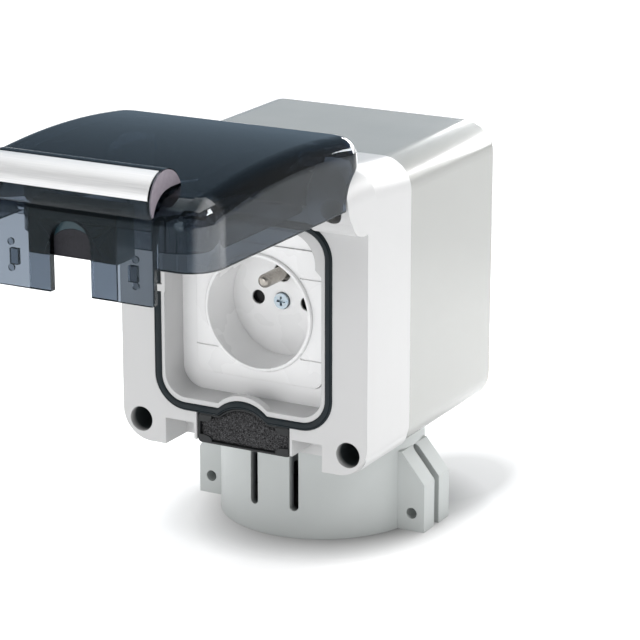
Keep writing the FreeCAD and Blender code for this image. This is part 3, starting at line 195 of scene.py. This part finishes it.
open_paper = paper.blend(paper.clamp(beside_case, 0.5, 1.0), painted_side_shadow, paper_white)
# The paper's white is darkened by painted shadows beside the case and round the collar's foot.
paper.wear(Roughness=paper.clamp(paper.noise(paper_place, 4.0), 0, 1, 0.85, 0.95),
           Base_Color=paper.blend(paper.clamp(from_pole_axis, 0.036, 0.062), painted_foot_shadow, open_paper),
           Emission_Color=paper.blend(painted_glow, (0, 0, 0, 1), (1, 1, 1, 1)))
table_top.data.materials.append(paper.material)

dim_way, dim_colour = (-0.46, 0.78, 0.42), (0.6, 0.8, 1.0, 1)
room = bpy.data.worlds.new("room")
room.use_nodes = True
room_nodes = Nodes(room.node_tree)
ahead = room_nodes.node("ShaderNodeTexCoord", {}, {}, "Generated")
behind = room_nodes.node("ShaderNodeVectorMath", {"operation": "DOT_PRODUCT"},
                         {0: ahead, 1: dim_way}, "Value")
room_nodes.set(room.node_tree.nodes["Background"], {
    "Color": room_nodes.blend(room_nodes.clamp(behind, 0.6, 0.9), (1, 1, 1, 1), dim_colour),
    "Strength": 0.37})
bpy.context.scene.world = room


def soft_box(name, place, aim, size, power):
    """A rectangular lamp at a place, turned towards a point."""
    lamp = bpy.data.lights.new(name, "AREA")
    lamp.shape = "RECTANGLE"
    lamp.size, lamp.size_y = size
    lamp.energy = power
    made = bpy.data.objects.new(name, lamp)
    made.location = place
    made.rotation_euler = (Vector(aim) - Vector(place)).to_track_quat("-Z", "Y").to_euler()
    bpy.context.collection.objects.link(made)


middle = (0.0, -0.02, 0.09)
soft_box("right_box", (1.0, -0.12, 0.95), middle, (0.42, 0.42), 4.9)
soft_box("top_box", (0.0, 0.05, 1.3), middle, (1.6, 1.6), 14.0)
soft_box("key_box", (-0.35, -1.5, 0.32), middle, (0.7, 0.6), 4.7)
soft_box("left_box", (-1.2, -0.7, 0.3), middle, (0.6, 0.6), 2.4)
upper_edge = (0.045, 0.0, 0.135)
soft_box("edge_box", (0.06, 0.325, 0.2025), upper_edge, (0.3, 0.11), 1.1)


# Rear box: a deep glossy housing in light grey polycarbonate, moulded in one piece.
# It is fixed to the frame by the four long corner screws.

def dress(node, finish):
    """Gives a moulded piece its finish."""
    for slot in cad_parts[node].material_slots:
        slot.material = finish.material


def moulded(name, colour, gloss, peel=0.00001, coat=0.0, edge=0.00035):
    """Injection-moulded plastic: a faint orange peel, cloudy changes in its shine, and soft corners."""
    finish = Finish(name, Base_Color=colour, IOR=1.5, Coat_Weight=coat, Coat_Roughness=0.05)
    finish.where = finish.place()
    cloud = finish.noise(finish.where, 35.0, 3.0)
    fine = finish.noise(finish.where, 900.0, 2.0)
    darker = tuple(c * 0.965 for c in colour[:3]) + (1.0,)
    finish.skin = finish.blend(cloud, darker, colour)
    finish.wear(Base_Color=finish.skin,
                Roughness=finish.clamp(cloud, 0.3, 0.7, gloss - 0.03, gloss + 0.04),
                Normal=finish.bump(fine, peel, 0.5, edge))
    return finish


box_plastic = moulded("box_plastic", tint("A6A7A4"), 0.22, coat=0.2)
dress("rear_box", box_plastic)

# Seals inside: the flat ring between box and frame, and the plug round the supply cable.
# The plug is a turned form with fine ribs round the hole, which a cable pushes open.

def skin(name, rings, finish, ends=(), wrap=False):
    """A mesh through rings of points: an array of rings, points and x, y, z. Each ring is closed.
    'ends' closes the first (0) or last (-1) ring with a face; 'wrap' joins the last ring to the first."""
    count, around = rings.shape[:2]
    here = np.arange(around)
    beside = np.roll(here, -1)
    first = np.arange(count if wrap else count - 1)[:, None] * around
    second = (np.arange(count if wrap else count - 1)[:, None] + 1) % count * around
    faces = np.stack([first + here, first + beside, second + beside, second + here], -1)
    faces = faces.reshape(-1, 4).tolist()
    for end in ends:
        faces.append((here + end % count * around).tolist())
    mesh = bpy.data.meshes.new(name)
    mesh.from_pydata(rings.reshape(-1, 3).tolist(), [], faces)
    mesh.validate()
    mesh.update()
    mesh.shade_smooth()
    mesh.set_sharp_from_angle(angle=np.radians(50))
    mesh.materials.append(finish.material)
    made = bpy.data.objects.new(name, mesh)
    bpy.context.collection.objects.link(made)
    return made


rubber = Finish("black_rubber", Base_Color=tint("1C242A"), Roughness=0.5, Specular_IOR_Level=0.3)
rubber_where = rubber.place()
rubber_dust = rubber.noise(rubber_where, 160.0, 4.0)
rubber.wear(Base_Color=rubber.blend(rubber_dust, tint("0B1317"), tint("172329")),
            Roughness=rubber.clamp(rubber_dust, 0.3, 0.7, 0.5, 0.7),
            Normal=rubber.bump(rubber.noise(rubber_where, 1500.0), 0.00003, 0.6))
dress("box_gasket", rubber)

plug_low, plug_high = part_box("cable_grommet")
plug_round = plug_high.x
flange_wide, flange_tall = 0.0021, 0.0016
plug_neck = plug_round - flange_wide
plug_hole = 0.0031
plug_wall = 0.0014
rib_tall = 0.0006
inner_bevel, outer_bevel, step_bevel, foot_bevel = 0.0003, 0.0004, 0.0001, 0.001
step_z = plug_high.z - flange_tall
# The ribs follow the squared cosine of the way from the hole to the plug's wall.
across = np.linspace(plug_hole, plug_neck - plug_wall, 60)
ribs = rib_tall * np.cos((across - plug_hole) / (plug_neck - plug_hole) * 5 * np.pi) ** 2
inner = np.stack([across, plug_low.z + plug_wall + ribs * 0.5], -1)
outer = np.stack([across, plug_low.z + rib_tall - ribs], -1)[::-1]
sides = np.array([(plug_neck - plug_wall, plug_high.z - inner_bevel),
                  (plug_neck - plug_wall + inner_bevel, plug_high.z),
                  (plug_round - outer_bevel, plug_high.z), (plug_round, plug_high.z - outer_bevel),
                  (plug_round, step_z + step_bevel), (plug_neck, step_z),
                  (plug_neck, plug_low.z + foot_bevel)])
profile = np.concatenate([inner, sides, outer])
turns = np.linspace(0, 2 * np.pi, 73)[:-1]
plug_rings = np.stack([profile[:, :1] * np.cos(turns), profile[:, :1] * np.sin(turns),
                       np.repeat(profile[:, 1:], len(turns), 1)], -1)
cable_plug = skin("cable_plug", plug_rings, rubber, wrap=True)
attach(cable_plug, "housing")
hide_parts("cable_grommet")

# Front frame: satin light grey plastic, with the well, the hinge lugs and the screw wells.
# It closes the box and carries everything that the hand meets.
frame_plastic = moulded("frame_plastic", tint("C7C7C7"), 0.34)
screw_x, screw_up, screw_middle = 0.0403, 0.04325, 0.08575
screw_well, well_rim = 0.0046, 0.0001
well_mouth, well_dark = -0.0562, -0.0535
frame_x, frame_y, frame_z = frame_plastic.apart(frame_plastic.where)
aside = frame_x.size() - screw_x
aloft = (frame_z - screw_middle).size() - screw_up
from_screw = (aside * aside + aloft * aloft) ** 0.5
# The screw wells are painted dark below their mouths: painted shade in the deep holes.
in_well = frame_plastic.clamp(from_screw, screw_well, screw_well + well_rim, 1.0, 0.0)
deep = frame_plastic.clamp(frame_y, well_mouth, well_dark)
painted_well_shade = tint("3E4446")
frame_plastic.wear(Base_Color=frame_plastic.blend(in_well * deep, frame_plastic.skin, painted_well_shade))
dress("front_frame", frame_plastic)

# Rubber loop in the frame's groove, which the lid's rib presses when it is shut.
# It is an extruded seal with a crowned top and a fine line along its outer side.

ARCH_HALF = 0.0095
ARCH_RISE = 0.0038


def arch_over_cable(x):
    """How far the arch over the cable rises at each x, and nothing beside it. It is a circle's cap:
    z = sqrt(R^2 - x^2) - (R - rise), with R = (half^2 + rise^2) / 2 rise."""
    bow = (ARCH_HALF ** 2 + ARCH_RISE ** 2) / (2 * ARCH_RISE)
    return np.maximum(np.sqrt(bow ** 2 - np.minimum(abs(x), ARCH_HALF) ** 2) - bow + ARCH_RISE, 0)


def arched_ring(y, half, low, high, corner, lower_arch, upper_arch):
    """A closed ring in the plane y: a rounded rectangle whose lower or upper side rises in the arch.
    Its corners are quarter circles: the centre plus corner times sine and cosine of the turn."""
    x = np.linspace(corner - half, half - corner, 101)
    cap = arch_over_cable(x)
    side = np.linspace(low + corner, high - corner, 180)
    turn = np.linspace(0, np.pi / 2, 11)
    rows = [(x, low + cap * lower_arch),
            (half - corner + corner * np.sin(turn), low + corner - corner * np.cos(turn)),
            (np.full(178, half), side[1:-1]),
            (half - corner + corner * np.cos(turn), high - corner + corner * np.sin(turn)),
            (x[::-1], high + cap * upper_arch),
            (corner - half - corner * np.sin(turn), high - corner + corner * np.cos(turn)),
            (np.full(178, -half), side[::-1][1:-1]),
            (corner - half - corner * np.cos(turn), low + corner - corner * np.sin(turn))]
    x, z = np.concatenate([np.stack(row) for row in rows], 1)
    return np.stack([x, np.full(len(x), y), z], -1)


loop_low, loop_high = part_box("lid_gasket")
band = 0.0028
loop_corner = 0.012
crown_tall = 0.0006
line_place, line_deep, line_wide = 0.0007, 0.0003, 0.00012
side_gap = 0.00004
# Across the band, s from 0 to 1, the crown is 1 - |2s - 1|^3 high, and the line is a bell curve.
inset = np.linspace(side_gap, band - side_gap, 29)
crown = (1 - abs(2 * inset / band - 1) ** 3) * crown_tall
line = line_deep * np.exp(-((inset - line_place) / line_wide) ** 2)
heights = np.concatenate([[loop_high.y], loop_low.y + crown_tall - crown + line, [loop_high.y]])
insets = np.concatenate([inset[:1], inset, inset[-1:]])
loop_rings = np.stack([
    arched_ring(y, loop_high.x - inward, loop_low.z + inward, loop_high.z - inward,
                loop_corner - inward, 1, 0)
    for y, inward in zip(heights, insets)])
# The hook's arm crosses the loop at the left, and the rubber is pressed flat under it.
arm_in, arm_out = -0.0303, -0.03365
arm_low, arm_high = 0.08955, 0.09215
loop_x, loop_y, loop_z = np.moveaxis(loop_rings, -1, 0)
under_arm = (loop_x < arm_in) & (loop_x > arm_out) & (loop_z > arm_low) & (loop_z < arm_high)
loop_rings[..., 1] = np.where(under_arm, loop_high.y, loop_y)
rubber_loop = skin("rubber_loop", loop_rings, rubber, wrap=True)
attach(rubber_loop, "housing")
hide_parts("lid_gasket")

# Foam holder and foam: a rubber tray with a clip at each corner, round a black sponge.
# The sponge bulges between the clips, and its open cells show on its face.
# The tray's lip is a half circle, carried round the outline.
tray_low, tray_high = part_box("foam_holder")
tray_wall = 0.001
tray_corner = 0.0016
tray_top = tray_high.z - ARCH_RISE
lip = np.linspace(0, np.pi, 9)
tray_inset = np.concatenate([[0.0], tray_wall / 2 * (1 - np.cos(lip)), [tray_wall]])
tray_y = np.concatenate([[tray_high.y], tray_low.y + tray_wall / 2 * (1 - np.sin(lip)),
                         [tray_high.y - tray_wall]])
tray_rings = np.stack([
    arched_ring(y, tray_high.x - inward, tray_low.z + inward, tray_top - inward, tray_corner - inward, 0, 1)
    for y, inward in zip(tray_y, tray_inset)])
tray_rubber = Finish("foam_rubber", Base_Color=tint("0D1012"), Roughness=0.55)
tray_dust = tray_rubber.noise(tray_rubber.place(), 400.0, 4.0)
tray_rubber.wear(Base_Color=tray_rubber.blend(tray_dust, tint("07090A"), tint("161A1D")),
                 Normal=tray_rubber.bump(tray_dust, 0.0001, 0.6))
tray = skin("foam_tray", tray_rings, tray_rubber, ends=(0, -1))
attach(tray, "housing")
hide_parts("foam_holder")

# A clip is a quarter of a rounded plate in each corner of the tray, which holds the sponge back.
# Its outline is x = long cos(t)^0.7, z = tall sin(t)^0.7, drawn in a little towards its face.
clip_long, clip_tall, clip_thick = 0.005, 0.0024, 0.0011
clip_root, clip_proud, clip_swell = 0.0003, 0.0001, 0.7
clip_turn = np.linspace(0, np.pi / 2, 12)
reach = np.concatenate([[0.0], clip_long * np.cos(clip_turn) ** clip_swell])
rise = np.concatenate([[0.0], clip_tall * np.sin(clip_turn) ** clip_swell])
shrink = np.array([0.9, 0.97, 1.0, 1.0])[:, None]
layers = np.array([0.0, 0.0001, 0.0004, 1.0]) * clip_thick
start_x = tray_high.x - tray_wall + clip_root
clip_roots = ((1, tray_low.z + tray_wall - clip_root), (-1, tray_top - tray_wall + clip_root))
for side in (-1, 1):
    for end, start_z in clip_roots:
        clip_rings = np.stack([
            side * (start_x - reach * shrink),
            np.repeat((tray_low.y - clip_proud + layers)[:, None], len(reach), 1),
            start_z + end * rise * shrink], -1)
        clip = skin("tray_clip", clip_rings, tray_rubber, ends=(0, -1))
        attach(clip, "housing")

sponge = Finish("black_sponge", Base_Color=tint("101214"), Roughness=0.95)
sponge_where = sponge.place()
cells = sponge.node("ShaderNodeTexVoronoi", {}, {"Vector": sponge_where, "Scale": 2600.0}, "Distance")
crumbs = sponge.noise(sponge_where, 1900.0, 4.0, 0.7)
sponge.wear(Base_Color=sponge.blend(sponge.clamp(cells * crumbs, 0.1, 0.45),
                                    tint("0A0A0B"), tint("5A5A5C")),
            Normal=sponge.bump(cells + crumbs, 0.0003, 0.8))

# The sponge's face bulges as (1 - x^10)(1 - z^6) of its half sizes. A pore is a bowl in it.
foam_low, foam_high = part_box("cable_foam")
foam_play, foam_sunk, foam_bulge = 0.0001, 0.0013, 0.0011
foam_half = foam_high.x - foam_play
foam_top = foam_high.z - ARCH_RISE
columns, rows = 240, 90
along, up = np.meshgrid(np.linspace(-1, 1, columns), np.linspace(-1, 1, rows))
foam_x = along * foam_half
foam_z = foam_low.z + (up + 1) / 2 * (foam_top + arch_over_cable(foam_x) - foam_low.z)
bulge = foam_bulge * (1 - along ** 10) * (1 - up ** 6)
pore_count = 900
rng = np.random.default_rng(7)
pores = rng.uniform((-foam_half, foam_low.z), (foam_half, foam_high.z), (pore_count, 2))
pore_round = rng.uniform(0.0002, 0.0006, pore_count)
depth = np.zeros_like(foam_x)
for pore, radius in zip(pores, pore_round):
    apart = ((foam_x - pore[0]) ** 2 + (foam_z - pore[1]) ** 2) / radius ** 2
    depth = np.maximum(depth, radius * 0.9 * np.maximum(1 - apart, 0))
face_y = tray_low.y + foam_sunk - bulge + depth
face = np.stack([foam_x, face_y, foam_z], -1)


def round_the_edge(grid):
    """The entries along a grid's four sides, once round."""
    return np.concatenate([grid[0], grid[1:, -1], grid[-1, ::-1][1:], grid[::-1, 0][1:-1]])


back_edge = round_the_edge(face)
back_edge[:, 1] = foam_high.y
numbers = np.arange(rows * columns).reshape(rows, columns)
quads = np.stack([numbers[:-1, :-1], numbers[:-1, 1:], numbers[1:, 1:], numbers[1:, :-1]], -1)
rim_numbers = round_the_edge(numbers)
back_numbers = rows * columns + np.arange(len(back_edge))
walls = np.stack([rim_numbers, np.roll(rim_numbers, -1), np.roll(back_numbers, -1), back_numbers], -1)
foam_mesh = bpy.data.meshes.new("sponge")
foam_mesh.from_pydata(np.concatenate([face.reshape(-1, 3), back_edge]).tolist(), [],
                      quads.reshape(-1, 4).tolist() + walls.tolist() + [back_numbers.tolist()])
foam_mesh.update()
foam_mesh.shade_smooth()
foam_mesh.materials.append(sponge.material)
foam_block = bpy.data.objects.new("sponge", foam_mesh)
bpy.context.collection.objects.link(foam_block)
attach(foam_block, "housing")
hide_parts("cable_foam")

# Socket cover: the glossy off-white insert with the round recess and the pin holes.
# The adapter plate round it, which holds it in the well, is of the same white, a little duller.
plate_plastic = moulded("plate_plastic", tint("F8F8F8"), 0.34)
dress("adapter_plate", plate_plastic)
cover_plastic = moulded("cover_plastic", tint("F6F6F6"), 0.28)
hole_x, hole_up, earth_up, floor_y = 0.0095, 0.0834, 0.0934, -0.029
pin_hole, earth_hole, hole_rim = 0.0027, 0.0034, 0.0001
hole_mouth, hole_dark = floor_y + 0.0002, floor_y + 0.0012
cover_x, cover_y, cover_z = cover_plastic.apart(cover_plastic.where)
# The pin holes and the earth hole are painted near black below their mouths: painted shade.
pin_off = ((cover_x.size() - hole_x) ** 2.0 + (cover_z - hole_up) ** 2.0) ** 0.5
earth_off = (cover_x.size() ** 2.0 + (cover_z - earth_up) ** 2.0) ** 0.5
in_pin_hole = cover_plastic.clamp(pin_off, pin_hole, pin_hole + hole_rim, 1.0, 0.0)
in_earth_hole = cover_plastic.clamp(earth_off, earth_hole, earth_hole + hole_rim, 1.0, 0.0)
painted_hole_shade = (in_pin_hole + in_earth_hole) * cover_plastic.clamp(cover_y, hole_mouth, hole_dark)
cover_plastic.wear(Base_Color=cover_plastic.blend(painted_hole_shade, cover_plastic.skin, tint("141516")))
dress("socket_cover", cover_plastic)

# Earth pin: turned brass with a nickel skin, rounded at its tip.
# It stands out of the recess's floor, and fine turning marks run round it.
nickel = Finish("nickel_plate", Base_Color=tint("A7A29B"), Metallic=1.0, Roughness=0.3)
nickel_lines = nickel.noise(nickel.place(scale=(1, 60, 1)), 90.0, 3.0)
nickel.wear(Roughness=nickel.clamp(nickel_lines, 0.3, 0.7, 0.22, 0.4),
            Normal=nickel.bump(nickel_lines, 0.00002, 0.5))
dress("earth_pin", nickel)

# Screws and hinge pins: zinc-plated steel with the faint blue of a passivated skin.
# Only the cross-head screw in the recess's middle is seen; the others hold the pieces together.
zinc = Finish("zinc_steel", Base_Color=tint("9FB0BE"), Metallic=1.0, Roughness=0.35)
zinc_cloud = zinc.noise(zinc.place(), 700.0, 3.0)
zinc.wear(Base_Color=zinc.blend(zinc_cloud, tint("8FA6B8"), tint("C2C6C6")),
          Roughness=zinc.clamp(zinc_cloud, 0.3, 0.7, 0.25, 0.45))
for node in ("insert_screw", "mechanism_screws", "bridge_screws", "terminal_screws",
             "cover_screws", "collar_screws", "hinge_pins"):
    dress(node, zinc)

# Mechanism: the thermoset rear body with its two brass sleeves and the sprung shutter.
# The dark shutter slides behind the pin holes, and a plug's pins push it down.
inner_plastic = moulded("inner_plastic", tint("B9B7B0"), 0.5, peel=0.00002)
dress("socket_base", inner_plastic)
dress("shutter", moulded("shutter_plastic", tint("141516"), 0.6))
brass = Finish("brass", Base_Color=tint("C9A55C"), Metallic=1.0, Roughness=0.35)
brass_cloud = brass.noise(brass.place(), 400.0)
brass.wear(Roughness=brass.clamp(brass_cloud, 0.3, 0.7, 0.28, 0.45))
dress("live_contact", brass)
dress("neutral_contact", brass)

# Lid: clear polycarbonate smoked to a blue-grey, in one piece with tab, rib and hinge bar.
# It is darkest where the light runs along its walls, and a coat on its free corners alone paints a bright
# highlight there.
smoke = Finish("smoked_plastic", Base_Color=(1, 1, 1, 1), Roughness=0.02, IOR=1.34,
               Specular_Tint=(0.7, 0.88, 1.0, 1.0), Transmission_Weight=1.0,
               Coat_IOR=1.8, Coat_Roughness=0.02)
smoke_where = smoke.place()
lid_x, lid_y, lid_z = smoke.apart(smoke_where)
corner_in, corner_out, free_edge, behind_edge = 0.0415, 0.0432, -0.149, -0.146
# A glossy coat on the free corners only: a painted highlight.
painted_corner_sheen = smoke.clamp(lid_x.size(), corner_in, corner_out)
painted_corner_sheen = painted_corner_sheen * smoke.clamp(lid_y, free_edge, behind_edge, 1.0, 0.0)
smoke.wear(Normal=smoke.bump(smoke.noise(smoke_where, 60.0), 0.00002, 0.3), Coat_Weight=painted_corner_sheen)
absorb = smoke.tree.nodes.new("ShaderNodeVolumeAbsorption")
absorb.inputs["Color"].default_value = (0.36, 0.42, 0.49, 1)
absorb.inputs["Density"].default_value = 1480.0
smoke.tree.links.new(absorb.outputs[0], smoke.tree.nodes["Material Output"].inputs["Volume"])
dress("lid", smoke)

# Ends of the grip: frosted flats at both ends of the bead, between its rim and the lid's brow.
# Each is bounded by the bead's circle outside, and by the brow's roll and the top inside.
# Seen from the brow's centre, the rim is at t + sqrt(r^2 - d^2 + t^2) in each direction, where r is
# the bead's radius, d the distance of the two centres, and t its share along that direction.
lid_low, lid_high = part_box("lid")
bead_in, bead_up, bead_round = 0.009, 0.0317, 0.0087
brow_behind, brow_below, brow_round, top_rise = 0.0019, 0.0068, 0.0097, 0.0099
flat_in, flat_out = 0.0290, 0.0295
bead_y, bead_z = lid_low.y + bead_in, lid_low.z + bead_up
brow_y, brow_z = bead_y + brow_behind, bead_z - brow_below
fan = np.radians(np.linspace(15, 122, 60))
toward = brow_behind * np.cos(fan) + brow_below * np.sin(fan)
rim_reach = toward + np.sqrt(bead_round ** 2 - brow_behind ** 2 - brow_below ** 2 + toward ** 2)
brow_reach = np.where(fan < np.pi / 2, brow_round, top_rise / np.sin(fan))
far = np.stack([-np.cos(fan), np.sin(fan)], -1)
brow_reach = np.minimum(brow_reach, rim_reach)
crescent = np.concatenate([rim_reach[:, None] * far, (brow_reach[:, None] * far)[::-1]])
frost = Finish("frosted_end", Base_Color=tint("8F8790"), Roughness=0.45)
frost_grain = frost.noise(frost.place(), 700.0, 3.0)
frost.wear(Base_Color=frost.blend(frost_grain, tint("857D87"), tint("A39AA3")),
           Normal=frost.bump(frost_grain, 0.00003, 0.5))
crescent = crescent + (brow_y, brow_z)
for side in (-1, 1):
    flat_rings = np.stack([np.column_stack([np.full(len(crescent), side * place), crescent])
                           for place in (flat_in, flat_out)])
    grip_end = skin("grip_end", flat_rings, frost, ends=(0, -1))
    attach(grip_end, "lid")

# Strip on the grip: silver foil with fine lines along its length.
# It is bonded round the outside of the grip's bead.
silver = Finish("silver_strip", Base_Color=tint("D9DADA"), Metallic=0.5, Roughness=0.35)
silver_lines = silver.noise(silver.place(scale=(1, 80, 80)), 60.0, 4.0)
silver.wear(Base_Color=silver.blend(silver_lines, tint("C6C7C8"), tint("EAEAEA")),
            Roughness=silver.clamp(silver_lines, 0.3, 0.7, 0.28, 0.5),
            Normal=silver.bump(silver_lines, 0.00002, 0.6))
dress("grip_strip", silver)

# Cable guard: a dark tinted block under the lid's free edge, with an arch over the cable.
# It is moulded by itself and fixed inside the lid.
dress("cable_guard", moulded("guard_plastic", tint("0F323C"), 0.3))

# Cable flap: a soft grey dome in the guard's arch, with a fine grain and a thin bead round its edge.
# The cable of a plug bends it aside when the lid is shut.
flap_rubber = Finish("grey_rubber", Base_Color=tint("3C3C42"), Roughness=0.8)
flap_where = flap_rubber.place()
flap_grain = flap_rubber.noise(flap_where, 2200.0, 3.0, 0.7)
flap_rubber.wear(Base_Color=flap_rubber.blend(
                     flap_rubber.clamp(flap_grain, 0.3, 0.7), tint("121218"), tint("22222A")),
                 Normal=flap_rubber.bump(flap_grain, 0.0001, 0.7))
# Its edge is an arc of radius (half^2 + rise^2) / 2 rise over a straight base. Each ring lies at a
# share of the edge's way from the middle, and at a share of the flap's thickness.
flap_low, flap_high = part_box("cable_flap")
flap_half = flap_high.x
flap_rise = flap_high.z - flap_low.z
flap_bow = (flap_half ** 2 + flap_rise ** 2) / (2 * flap_rise)
flap_turn = np.linspace(-1, 1, 61) * np.arcsin(flap_half / flap_bow)
arc = np.stack([flap_bow * np.sin(flap_turn), flap_bow * np.cos(flap_turn) - flap_bow + flap_rise], -1)[::-1]
base_line = np.stack([np.linspace(-flap_half, flap_half, 31)[1:-1], np.zeros(29)], -1)
flap_edge = np.concatenate([arc, base_line])
flap_heart = flap_rise * 0.4
shares = np.array([1.0, 1.0, 0.985, 0.95, 0.92, 0.88, 0.6, 0.3, 0.04])
lifts = np.array([1.0, 0.15, 0.02, 0.0, 0.06, 0.2, 0.14, 0.1, 0.08]) * (flap_high.y - flap_low.y)
flap_rings = np.stack([
    np.stack([flap_edge[:, 0] * share,
              np.full(len(flap_edge), flap_low.y + lift),
              flap_low.z + flap_heart + (flap_edge[:, 1] - flap_heart) * share], -1)
    for share, lift in zip(shares, lifts)])
soft_flap = skin("soft_flap", flap_rings, flap_rubber, ends=(0, -1))
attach(soft_flap, "lid")
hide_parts("cable_flap")

# Pole collar: the same grey as the box, with a duller, drier surface.
# It is moulded by itself and screwed under the box, and its inside is painted darker: painted shade where no
# light falls.
collar_plastic = moulded("collar_plastic", tint("BABEBD"), 0.42, peel=0.00002)
bore_skin, ring_skin = 0.0340, 0.0362
collar_x, collar_y, collar_z = collar_plastic.apart(collar_plastic.where)
from_pole = (collar_x * collar_x + collar_y * collar_y) ** 0.5
# The bore's inner face is painted darker, as painted shade.
inside = collar_plastic.clamp(from_pole, bore_skin, ring_skin, 1.0, 0.0)
collar_plastic.wear(Base_Color=collar_plastic.blend(inside, collar_plastic.skin, tint("6C6F71")))
dress("pole_collar", collar_plastic)
